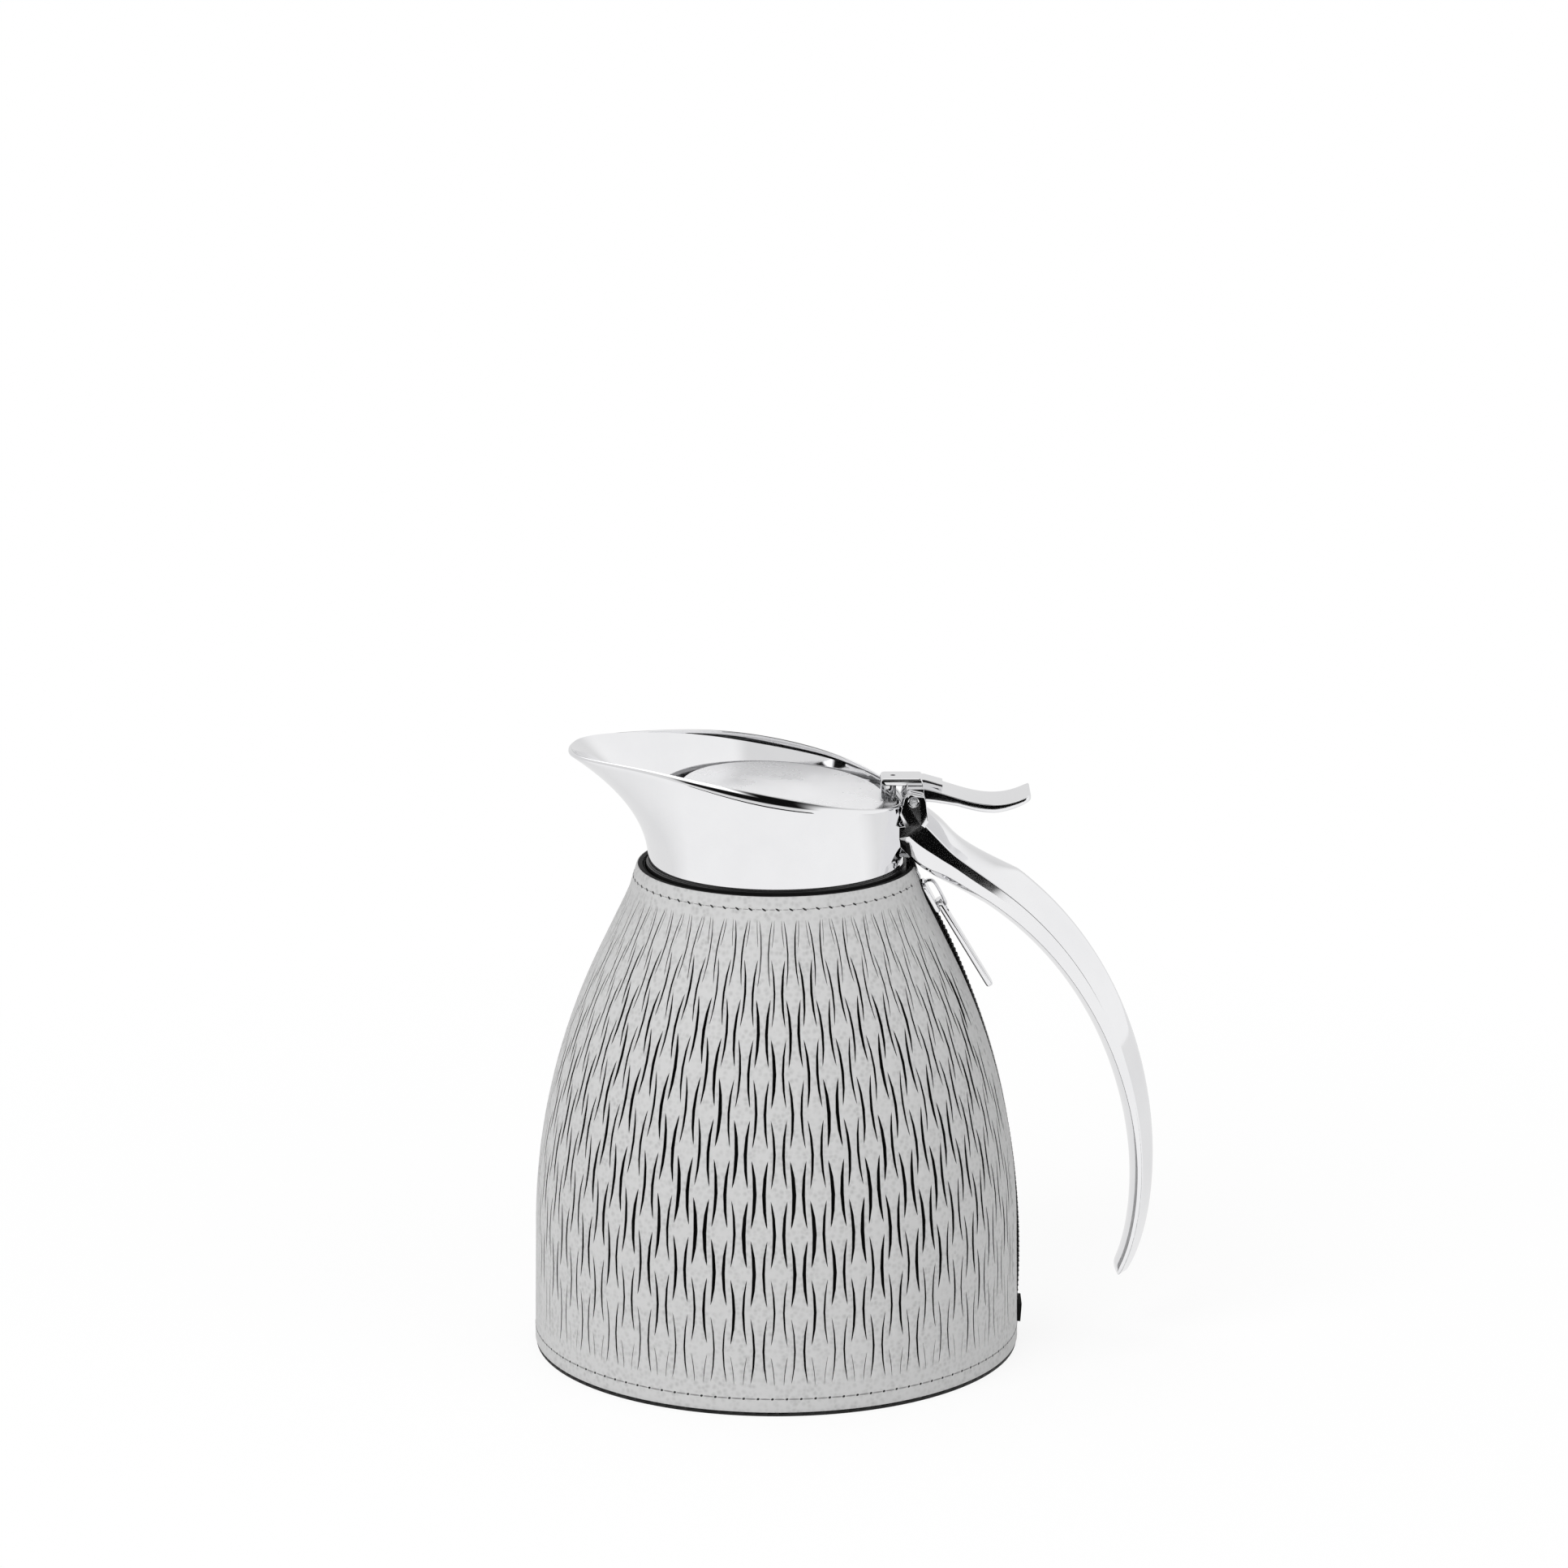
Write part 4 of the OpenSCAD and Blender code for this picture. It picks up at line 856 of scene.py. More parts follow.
def build_lever(metal):
    rings = [lever_section(k / 48, metal) for k in range(46)]
    for k in range(1, 10):
        rings.append(lever_section(1 - LEVER_TIP / LEVER_SPAN * (1 - math.sin(math.pi / 2 * k / 9)), metal))
    piece = make_piece("paddle", *loft(rings), [FINISHES["chrome"]])
    turns = [math.radians(-25 - 13 * k) for k in range(12)]
    hub = list(HUB_OUTLINE) + [(PIN_X + HUB_R * math.cos(a), PIN_Z + HUB_R * math.sin(a)) for a in turns]
    rounds = (0, 0.5) + (0,) * 15
    block = make_piece("hub", *slab(round_corners(hub, rounds), -LEVER_HALF, LEVER_HALF, 0.15), [])
    carve(piece, [block], "UNION")
    under = ((20.0, 130.0), (20.0, PIN_Z), (37.85, PIN_Z), (37.85, 130.0))
    cuts = [make_piece("cut", *rod(PIN_X, PIN_Z, SPRING_R, -SPRING_HALF, SPRING_HALF), []),
            make_piece("cut", *slab(under, -SPRING_HALF, SPRING_HALF, 0.05), []),
            make_piece("cut", *rod(PIN_X, PIN_Z, PIN_BORE, -12, 12), [])]
    carve(piece, cuts, "DIFFERENCE", angle=CAST_SHARP)
    even_out(piece)
    settle(piece, "thumb_paddle", "lid", "chrome", "thumb_lever")


def build_bridge(metal):
    outline = round_corners(BRIDGE_OUTLINE, (0, metal.bridge_corner / MM, 0.9, 0, 0.3, 0), 5)
    piece = make_piece("bridge", *slab(outline, -BRIDGE_HALF, BRIDGE_HALF, 0.3), [FINISHES["chrome"]])
    parts = [make_piece("tongue", *slab(TONGUE_OUTLINE, -TONGUE_HALF, TONGUE_HALF, 0.15), []),
             make_piece("knuckle", *rod(KNUCKLE_X, KNUCKLE_Z, KNUCKLE_R, -KNUCKLE_HALF, KNUCKLE_HALF), [])]
    carve(piece, parts, "UNION", angle=CAST_SHARP)
    even_out(piece)
    settle(piece, "lid_bridge_cap", "lid", "chrome", "lid_bridge")


def build_lid_plate():
    turns = [2 * math.pi * k / 144 for k in range(144)]
    ring = [(LID_HALF_X * math.cos(a), LID_HALF_Y * math.sin(a)) for a in turns]
    verts, faces = slab(ring, -LID_T, 0.0, 0.35, axis="Z")
    tilt = Matrix.Rotation(LID_SLOPE, 3, "Y")
    centre = Vector((LID_X, 0, LID_Z - LID_X * math.sin(LID_SLOPE)))
    spots = [tuple(tilt @ Vector(v) + centre) for v in verts]
    piece = make_piece("plate", spots, faces, [FINISHES["satin_chrome"]])
    lug = round_corners(((22.6, -4), (30.6, -4), (30.6, 4), (22.6, 4)), (0, 1.0, 1.0, 0))
    boss = ((0, 139.5), (4, 139.5), (4, 144.5), (0, 144.5))
    parts = [make_piece("lug", *slab(lug, 141.4, 143.0, 0.25, axis="Z"), []),
             make_piece("boss", *lathe(boss, 48), [])]
    carve(piece, parts, "UNION", angle=CAST_SHARP)
    screw_bore = ((0, 130), (1.3, 130), (1.3, 143.4), (0, 143.4))
    post_bore = ((0, 139), (0.85, 139), (0.85, 149), (0, 149))
    bores = [make_piece("cut", *lathe(screw_bore, 32), []),
             make_piece("cut", *lathe(post_bore, 32, (POST_X, 0.0)), [])]
    carve(piece, bores, "DIFFERENCE", angle=CAST_SHARP)
    settle(piece, "lid_disc", "lid", "chrome", "lid_plate")


def build_post():
    piece = make_piece("rivet", *lathe(POST_OUTLINE, 48, (POST_X, 0.0)), [FINISHES["chrome"]])
    settle(piece, "lid_rivet", "lid", "steel", "lid_post")


# ---------------------------------------------------------------- beads along a path

BEADS = []


def bead_tree():
    """Geometry Nodes: beads laid end to end along a path, turned to its run and to its outward side."""
    tree = bpy.data.node_groups.new("beads along a path", "GeometryNodeTree")
    tree.is_modifier = True
    face = tree.interface
    face.new_socket("Path", in_out="INPUT", socket_type="NodeSocketGeometry")
    sizes = {}
    for name, kind, value in (("Count", "Int", 10), ("Length", "Float", 0.002), ("Width", "Float", 0.0005),
                              ("Height", "Float", 0.0003), ("Slant", "Float", 0.0),
                              ("Material", "Material", None)):
        socket = face.new_socket(name, in_out="INPUT", socket_type="NodeSocket" + kind)
        if value is not None:
            socket.default_value = value
        sizes[name] = socket.identifier
    face.new_socket("Beads", in_out="OUTPUT", socket_type="NodeSocketGeometry")
    inlet = add(tree, "NodeGroupInput").outputs
    line = add(tree, "GeometryNodeMeshToCurve", {"Mesh": inlet["Path"]}).outputs["Curve"]
    spots = add(tree, "GeometryNodeResampleCurve", {"Curve": line, "Count": inlet["Count"]}).outputs["Curve"]
    out = add(tree, "GeometryNodeInputNamedAttribute", {"Name": "out"}, data_type="FLOAT_VECTOR")
    run = add(tree, "GeometryNodeInputTangent").outputs["Tangent"]
    stand = add(tree, "FunctionNodeAlignRotationToVector", {"Vector": out.outputs["Attribute"]},
                axis="Z").outputs["Rotation"]
    along = add(tree, "FunctionNodeAlignRotationToVector", {"Rotation": stand, "Vector": run},
                axis="X", pivot_axis="Z").outputs["Rotation"]
    slant = add(tree, "ShaderNodeCombineXYZ", {"Z": inlet["Slant"]}).outputs["Vector"]
    lean = add(tree, "FunctionNodeEulerToRotation", {"Euler": slant}).outputs["Rotation"]
    turned = add(tree, "FunctionNodeRotateRotation", {"Rotation": along, "Rotate By": lean},
                 rotation_space="LOCAL").outputs["Rotation"]
    ball = add(tree, "GeometryNodeMeshUVSphere", {"Segments": 8, "Rings": 5, "Radius": 0.5}).outputs["Mesh"]
    size = add(tree, "ShaderNodeCombineXYZ", {"X": inlet["Length"], "Y": inlet["Width"],
                                              "Z": inlet["Height"]}).outputs["Vector"]
    bead = add(tree, "GeometryNodeTransform", {"Geometry": ball, "Scale": size})
    placed = add(tree, "GeometryNodeInstanceOnPoints", {"Points": spots, "Instance": bead.outputs["Geometry"],
                                                        "Rotation": turned}).outputs["Instances"]
    real = add(tree, "GeometryNodeRealizeInstances", {"Geometry": placed}).outputs["Geometry"]
    done = add(tree, "GeometryNodeSetMaterial", {"Geometry": real, "Material": inlet["Material"]})
    add(tree, "NodeGroupOutput", {"Beads": done.outputs["Geometry"]})
    return tree, sizes


def run_of_beads(name, path, outs, count, size, slant, material, closed=False):
    """Beads of a length, width and height along a path in millimetres; outs are its outward directions."""
    if not BEADS:
        BEADS.append(bead_tree())
    tree, sizes = BEADS[0]
    mesh = bpy.data.meshes.new(name)
    n = len(path)
    edges = [(k, k + 1) for k in range(n - 1)] + ([(n - 1, 0)] if closed else [])
    mesh.from_pydata([tuple(c * MM for c in p) for p in path], edges, [])
    side = mesh.attributes.new("out", "FLOAT_VECTOR", "POINT")
    side.data.foreach_set("vector", [c for o in outs for c in o])
    piece = put(name, mesh)
    tool = piece.modifiers.new("beads", "NODES")
    tool.node_group = tree
    values = {"Count": count, "Length": size[0] * MM, "Width": size[1] * MM, "Height": size[2] * MM,
              "Slant": slant, "Material": material}
    for key, value in values.items():
        tool[sizes[key]] = value
    beads = apply_tools(piece)
    # The path had no material, so its empty slot goes
    beads.materials.clear()
    beads.materials.append(material)
    beads.polygons.foreach_set("material_index", [0] * len(beads.polygons))
    beads.shade_smooth()
    return piece


# ---------------------------------------------------------------- stitches

BASE_LINE_Z, TOP_LINE_Z, ZIP_LINE_Z = 4.55, 123.65, 6.4
BASE_LINE_R, TOP_LINE_R, SUNK = 62.4, 36.3, 0.02


def stitches(name, line, depth, count, size, slant, slot, closed=False):
    """Stitches along a line of (across, along) points of the flat leather."""
    path, outs = [], []
    for u, s in line:
        z, a = height_at(s), u / FLAT_R
        lean = (cover_r(min(COVER_H, z + 0.2)) - cover_r(z - 0.2)) / 0.4
        out = Vector((math.cos(a), math.sin(a), -lean)).normalized()
        path.append(Vector(on_cover(u, s)) - out * depth)
        outs.append(tuple(out))
    piece = run_of_beads(name, path, outs, count, size, slant, FINISHES[slot], closed)
    settle(piece, name, "pot", "leather")


def build_seams(seam):
    """The four lines of stitching: base, top edge and both sides of the zip."""
    pitch, top_pitch, off = seam.base_pitch / MM, seam.top_pitch / MM, seam.zip_line / MM
    low, high = length_at(BASE_LINE_Z), length_at(TOP_LINE_Z)
    count = round(2 * math.pi * BASE_LINE_R / pitch)
    ring = [AROUND * k / 360 for k in range(360)]
    size = (pitch * 0.8, 0.42, 0.2)
    stitches("base_thread", [(u, low) for u in ring], SUNK, count, size, 0.0, "grey_thread_and_groove_shade", closed=True)
    # Flat black beads at the stitch holes are painted shade: dark marks in the black thread finish that stand
    # in for the shade inside the holes
    holes = [(u + AROUND / count / 2, low) for u in ring]
    stitches("base_hole_shade", holes, 0.0, count, (0.8, 0.62, 0.1), 0.4, "thread", closed=True)
    edge = FLAT_R * off / cover_r(TOP_LINE_Z)
    span = AROUND - 2 * edge
    line = [(edge + span * k / 240, high) for k in range(241)]
    count = round(span * TOP_LINE_R / FLAT_R / top_pitch)
    stitches("top_stitches", line, SUNK, count, (1.3, 0.5, 0.22), -0.55, "thread")
    stitches("top_thread", line, SUNK, count * 2, (1.7, 0.22, 0.12), 0.0, "grey_thread_and_groove_shade")
    levels = [mix(length_at(ZIP_LINE_Z), high, k / 60) for k in range(61)]
    count = round((levels[-1] - levels[0]) / top_pitch)
    for side, name in ((-1, "zip_stitches_front"), (1, "zip_stitches_back")):
        line = [(side * FLAT_R * off / cover_r(height_at(s)), s) for s in levels]
        stitches(name, line, SUNK, count, (1.9, 0.34, 0.16), 0.0, "grey_thread_and_groove_shade")


# ---------------------------------------------------------------- zip

# The circle that the zip follows, seen from the side
ZIP_X, ZIP_Z, ZIP_R = -142.496, 21.9044, 204.519
TEETH_LOW, TEETH_HIGH, TEETH_LENGTH, TOOTH_RISE, TOOTH_SIDE = 10.0, 122.2, 114.5, 0.42, 0.83
SLIDER_ANGLE, BAR_X, BAR_Z = math.radians(27.835), 41.5177, 116.5325
SLIDER_OUTLINE = ((-3.8, 4.5), (3.8, 4.5), (2.9, -4.5), (-2.9, -4.5))
TUNNEL_OUTLINE = ((-1.68, 6), (1.68, 6), (1.68, -6), (-1.68, -6))
BAIL_ARCH = ((1.35, -4.0), (2.6, -4.15), (3.6, -3.6), (3.75, -2.0), (3.75, 1.5), (3.4, 3.2), (2.4, 3.9),
             (1.35, 3.9))
PULLER_ANGLE = math.radians(27.214 - 90 + 3.6)
PULLER_OUTLINE = ((-2.6, -0.7), (2.6, -0.7), (2.3, 26.0), (-2.3, 26.0))
WINDOW_OUTLINE = ((-1.6, 0.7), (1.6, 0.7), (1.6, 3.6), (-1.6, 3.6))


def smooth_path(points, steps):
    """Points of a smooth curve through the given ones."""
    path, last = [], len(points) - 1
    for k in range(last):
        before, a, b, after = points[max(0, k - 1)], points[k], points[k + 1], points[min(last, k + 2)]
        for j in range(steps):
            t = j / steps
            path.append([0.5 * (2 * a[i] + (b[i] - before[i]) * t
                                + (2 * before[i] - 5 * a[i] + 4 * b[i] - after[i]) * t * t
                                + (3 * a[i] - before[i] - 3 * b[i] + after[i]) * t**3) for i in (0, 1)])
    return path + [points[last]]


def stood(name, solid, origin, thick, along, materials):
    """A slab stood on axes of its own: across is Y, then come its thickness and its length."""
    verts, faces = solid
    spots = [tuple(origin + Vector((0, 1, 0)) * x + thick * y + along * z) for x, y, z in verts]
    return make_piece(name, spots, faces, materials)


def build_teeth(seam):
    pitch = seam.tooth_pitch / MM
    for side, name, node in ((-1, "zip_teeth_front", "zip_coil_front"),
                             (1, "zip_teeth_back", "zip_coil_back")):
        path, outs = [], []
        for k in range(81):
            a = math.asin((mix(TEETH_LOW, TEETH_HIGH, k / 80) - ZIP_Z) / ZIP_R)
            r = ZIP_R + TOOTH_RISE
            path.append((ZIP_X + r * math.cos(a), side * TOOTH_SIDE, ZIP_Z + r * math.sin(a)))
            outs.append((math.cos(a), 0.0, math.sin(a)))
        count, size = round(TEETH_LENGTH / pitch), (pitch * 0.86, 1.5, 0.9)
        row = run_of_beads(name, path, outs, count, size, side * 0.18, FINISHES["zip_teeth"])
        settle(row, name, "pot", "zip_teeth", node)


def build_slider():
    out = Vector((math.cos(SLIDER_ANGLE), 0, math.sin(SLIDER_ANGLE)))
    up = Vector((-out.z, 0, out.x))
    origin = Vector((ZIP_X, 0, ZIP_Z)) + out * ZIP_R
    outline = round_corners(SLIDER_OUTLINE, (1.6, 1.6, 1.2, 1.2), 6)
    body = stood("body", slab(outline, 0.12, 1.6, 0.55, steps=5), origin, out, up, [FINISHES["chrome"]])
    carve(body, [stood("cut", slab(TUNNEL_OUTLINE, -1.0, 1.1, 0.05), origin, out, up, [])], "DIFFERENCE")
    arch = [origin + out * x + up * y for x, y in smooth_path(BAIL_ARCH, 4)]
    carve(body, [make_piece("bail", *tube(arch, 0.42, 12, 2.8), [])], "UNION")
    settle(body, "slider_body", "slider", "chrome", "zip_slider")


def build_puller():
    along = Vector((math.cos(PULLER_ANGLE), 0, math.sin(PULLER_ANGLE)))
    thick = Vector((along.z, 0, -along.x))
    bar = Vector((BAR_X, 0, BAR_Z))
    outline = round_corners(PULLER_OUTLINE, (1.6, 1.6, 2.0, 2.0), 6)
    puller = stood("tab", slab(outline, -0.8, 0.8, 0.45, steps=4), bar, thick, along, [FINISHES["chrome"]])
    window = round_corners(WINDOW_OUTLINE, (0.5, 0.5, 1.3, 1.3), 4)
    carve(puller, [stood("cut", slab(window, -3, 3, 0.05), bar, thick, along, [])], "DIFFERENCE")
    settle(puller, "puller_tab", "puller", "chrome", "zip_puller")


# ---------------------------------------------------------------- carried-over nodes

# Node, body, slot and the name of its smooth copy
SMOOTH_COPIES = (
    ("cover_lining", "pot", "lining", "inner_lining"),
    ("cover_base", "pot", "base_board", "base_disc"),
    ("zip_tape_front", "pot", "zip_tape", "tape_front"),
    ("zip_tape_back", "pot", "zip_tape", "tape_back"),
    ("zip_top_stops", "pot", "steel", "tape_clamps"),
    ("zip_bottom_tab", "pot", "zip_tape", "tape_end"),
    ("flask_shell", "pot", "black_plastic", "shell_wall"),
    ("flask_base_cap", "pot", "black_plastic", "shell_cap"),
    ("liner_outer", "pot", "silvered_glass", "outer_glass"),
    ("liner_inner", "pot", "silvered_glass", "inner_glass"),
    ("liner_support", "pot", "rubber", "glass_support"),
    ("liner_mouth_seal", "pot", "silicone", "mouth_seal"),
    ("neck_ring", "pot", "steel", "threaded_ring"),
    ("pour_insert", "pot", "steel", "pouring_funnel"),
    ("handle_screws", "pot", "steel", "root_screws"),
    ("hinge_pin", "pot", "steel", "pin"),
    ("return_spring", "lid", "steel", "torsion_spring"),
    ("lid_stopper", "lid", "black_plastic", "stopper_plug"),
    ("stopper_seal", "lid", "silicone", "plug_seal"),
    ("stopper_screw", "lid", "steel", "plug_screw"),
)


def build_insides():
    """Smooth-shaded copies of the nodes whose shape is already right."""
    for node, body, slot, name in SMOOTH_COPIES:
        settle(copy_of_node(name, node, FINISHES[slot]), name, body, slot, node)


# ---------------------------------------------------------------- stage


def build_floor(stage):
    """A matt floor near the pot that goes over to plain white, and is white to metal."""
    material = bpy.data.materials.new("pale studio floor")
    tree = empty_tree(material)
    rays = add(tree, "ShaderNodeLightPath").outputs
    seen = add(tree, "ShaderNodeMath", {0: rays["Is Camera Ray"], 1: rays["Is Transmission Ray"]},
               operation="MAXIMUM").outputs[0]
    spot = add(tree, "ShaderNodeNewGeometry").outputs["Position"]
    away = add(tree, "ShaderNodeVectorMath", {0: spot}, operation="LENGTH").outputs["Value"]
    white = add(tree, "ShaderNodeMapRange", {"Value": away, "From Min": 0.12, "From Max": 0.4,
                                             "To Min": stage.floor_glow}).outputs["Result"]
    plain = add(tree, "ShaderNodeMath", {0: seen, 1: white}, operation="MULTIPLY").outputs[0]
    share = add(tree, "ShaderNodeMath", {0: plain, 1: rays["Is Glossy Ray"]}, operation="MAXIMUM").outputs[0]
    # Metal shows the floor behind the pot a little darker
    behind = add(tree, "ShaderNodeSeparateXYZ", {"Vector": spot}).outputs["Y"]
    shade_there = add(tree, "ShaderNodeMapRange", {"Value": behind, "From Min": -0.05, "From Max": 0.1,
                                                   "To Max": 1.0 - stage.floor_behind}).outputs["Result"]
    shade_seen = add(tree, "ShaderNodeMath", {0: shade_there, 1: rays["Is Glossy Ray"]}, operation="MULTIPLY")
    level = add(tree, "ShaderNodeMath", {0: 1.0, 1: shade_seen.outputs[0]}, operation="SUBTRACT").outputs[0]
    matt = add(tree, "ShaderNodeBsdfDiffuse", {"Color": tuple(stage.floor_colour)}).outputs[0]
    glow = add(tree, "ShaderNodeEmission", {"Color": (1.0, 1.0, 1.0, 1.0), "Strength": level}).outputs[0]
    blend = add(tree, "ShaderNodeMixShader", {0: share, 1: matt, 2: glow})
    add(tree, "ShaderNodeOutputMaterial", {"Surface": blend.outputs[0]})
    side, front = 9000, -7000
    corners = [(-side, front, 0), (side, front, 0), (side, side, 0), (-side, side, 0)]
    floor = make_piece("floor", corners, [(0, 1, 2, 3)], [material], turn_out=False)


def build_card(stage):
    """A black card on the floor ahead of the pot that only metal shows."""
    material = bpy.data.materials.new("black studio card")
    tree = empty_tree(material)
    flat = add(tree, "ShaderNodeEmission", {"Color": linear("#0A0A0A"), "Strength": 1.0}).outputs[0]
    add(tree, "ShaderNodeOutputMaterial", {"Surface": flat})
    near, far, left, right = -stage.card_near / MM, -stage.card_far / MM, stage.card_left, stage.card_right
    corners = [(near * left, near, 2), (-near * right, near, 2), (-far * right, far, 2), (far * left, far, 2)]
    card = make_piece("card", corners, [(0, 1, 2, 3)], [material], turn_out=False)
    for ray in ("visible_camera", "visible_diffuse", "visible_shadow", "visible_transmission"):
        setattr(card, ray, False)


def build_room(stage):
    """A white room; metal shows its dark end ahead of the pot, its white side and a bright lamp patch."""
    world = bpy.data.worlds.new("soft white room")
    bpy.context.scene.world = world
    tree = empty_tree(world)
    rays = add(tree, "ShaderNodeLightPath").outputs
    plain = add(tree, "ShaderNodeMath", {0: rays["Is Camera Ray"], 1: rays["Is Transmission Ray"]},
                operation="MAXIMUM").outputs[0]
    seen = add(tree, "ShaderNodeMath", {0: plain, 1: rays["Is Glossy Ray"]}, operation="MAXIMUM").outputs[0]
    level = add(tree, "ShaderNodeMapRange", {"Value": seen, "To Min": stage.room_light, "To Max": 1.0})
    where = add(tree, "ShaderNodeTexCoord").outputs["Generated"]
    across, back, up = add(tree, "ShaderNodeSeparateXYZ", {"Vector": where}).outputs
    # The rims of the dark end run slantwise on the left and on the right
    slant = add(tree, "ShaderNodeMath", {0: back, 1: -0.55, 2: across}, operation="MULTIPLY_ADD").outputs[0]
    turn = add(tree, "ShaderNodeMath", {0: back, 1: 0.15, 2: across}, operation="MULTIPLY_ADD").outputs[0]
    part = {}
    for key, value, start, end in (
        ("left", slant, -0.52, -0.38), ("ahead", back, 0.0, -0.16), ("over", across, 0.0, 0.14),
        ("past", back, 0.85, 0.55), ("right", turn, 0.62, 0.36), ("high", up, 0.42, 0.6),
        ("side", across, 0.4, 0.62), ("lamp left", across, -0.5, -0.3), ("lamp right", across, 0.12, 0.0),
        ("lamp near", back, -0.05, 0.1), ("lamp high", up, 0.5, 0.7),
    ):
        part[key] = add(tree, "ShaderNodeMapRange", {"Value": value, "From Min": start, "From Max": end},
                        interpolation_type="SMOOTHSTEP").outputs["Result"]
    for key, first, second, how in (
        ("front", "left", "ahead", "MULTIPLY"), ("roof", "over", "past", "MULTIPLY"),
        ("dark", "front", "roof", "MAXIMUM"), ("dark", "dark", "right", "MULTIPLY"),
        ("dark", "dark", "high", "MULTIPLY"), ("lamp width", "lamp left", "lamp right", "MULTIPLY"),
        ("lamp depth", "lamp near", "lamp high", "MULTIPLY"),
        ("lamp", "lamp width", "lamp depth", "MULTIPLY"),
    ):
        part[key] = add(tree, "ShaderNodeMath", {0: part[first], 1: part[second]}, operation=how).outputs[0]
    matte = add(tree, "ShaderNodeMath", {0: 1.0, 1: seen}, operation="SUBTRACT").outputs[0]
    white, tint = (1.0, 1.0, 1.0, 1.0), linear("#E7E7E7")
    for share, other in ((part["side"], white), (part["lamp"], (1.6, 1.6, 1.6, 1.0)),
                         (part["dark"], linear("#101010")), (plain, white), (matte, white)):
        tint = add(tree, "ShaderNodeMix", {"Factor": share, 6: tint, 7: other}, data_type="RGBA").outputs[2]
    sky = add(tree, "ShaderNodeBackground", {"Color": tint, "Strength": level.outputs["Result"]})
    add(tree, "ShaderNodeOutputWorld", {"Surface": sky.outputs[0]})


def build_lamps(stage):
    """Soft square lamps that look at the pot's middle and don't show in metal."""
    middle = Vector((0, 0, 0.07))
    for name, spot, size, power in (("window", (-1.1, -1.3, 1.5), 1.3, stage.window_power),
                                    ("fill", (1.4, -0.9, 1.1), 1.4, stage.fill_power),
                                    ("top", (-0.1, 0.3, 1.9), 1.2, stage.top_power)):
        lamp = bpy.data.lights.new(name, "AREA")
        lamp.shape, lamp.size, lamp.energy = "SQUARE", size, power
        thing = put(name, lamp)
        thing.location = spot
        thing.rotation_euler = (middle - Vector(spot)).to_track_quat("-Z", "Y").to_euler()
        thing.visible_glossy = False


def build_camera(stage):
    lens = bpy.data.cameras.new("view")
    lens.lens, lens.sensor_width = stage.lens, 36.0
    camera = put("view", lens)
    camera.location = tuple(stage.camera_place)
    camera.rotation_euler = (stage.camera_tilt, 0.0, 0.0)
    bpy.context.scene.camera = camera


# ---------------------------------------------------------------- settings


def length(name, text, value):
    return bpy.props.FloatProperty(name=name, description=text, default=value, min=0.0, precision=4,
                                   unit="LENGTH")


def angle(name, text, degrees):
    return bpy.props.FloatProperty(name=name, description=text, default=math.radians(degrees),
                                   unit="ROTATION")


def colour(name, text, code):
    return bpy.props.FloatVectorProperty(name=name, description=text, default=linear(code), size=4,
                                         subtype="COLOR", min=0, max=1)


def number(name, text, value):
    return bpy.props.FloatProperty(name=name, description=text, default=value, min=0.0, precision=3)


class CoverSettings(bpy.types.PropertyGroup):
    leather_light: colour("Leather, light", "Colour between the pebbles", "#C9C9C9")
    leather_dark: colour("Leather, dark", "Colour of the pebbles' middles", "#B4B4B4")
    slit_length: length("Slit length", "Length of one slit up the side", 0.0171)
    slit_width: length("Slit width", "Width of a slit in the middle rows", 0.0008)
    first_row: length("First row", "Length up the side to the middle of the lowest row", 0.01589)
    row_step: length("Row step", "Length up the side from row to row", 0.010005)
    pair_pitch: angle("Pair pitch", "Angle between two pairs of slits in one row", 9.35)
    zip_margin: length("Zip margin", "Uncut leather on each side of the zip", 0.014)


class SeamSettings(bpy.types.PropertyGroup):
    base_pitch: length("Base pitch", "Distance between stitches along the base", 0.0036)
    top_pitch: length("Top pitch", "Distance between stitches along the top and the zip", 0.0033)
    zip_line: length("Zip line", "Distance of the zip's stitch lines from its middle", 0.0128)
    tooth_pitch: length("Tooth pitch", "Distance between coil teeth", 0.00127)


class MetalSettings(bpy.types.PropertyGroup):
    chrome_tint: colour("Chrome tint", "Colour of the chrome's reflections", "#E6E6E8")
    chrome_roughness: number("Chrome roughness", "Middle roughness of the chrome", 0.05)
    lid_roughness: number("Lid roughness", "Middle roughness of the lid's satin top", 0.3)
    wall_lean: number("Wall lean", "How far side walls lean in, for each unit of height", 0.024)
    edge_round: length("Edge round", "Easing of the edge between crest and wall", 0.0004)
    tip_round: length("Tip round", "Rounding of the handle's free end", 0.0022)
    lever_edge: length("Lever edge", "Rounding of the paddle's upper edge", 0.00018)
    lever_under: length("Lever underside", "Rounding of the paddle's lower edge", 0.0008)
    lever_corner: length("Lever corner", "Radius of the paddle's corners", 0.0016)
    bridge_corner: length("Bridge corner", "Radius of the bridge's front corner", 0.0011)


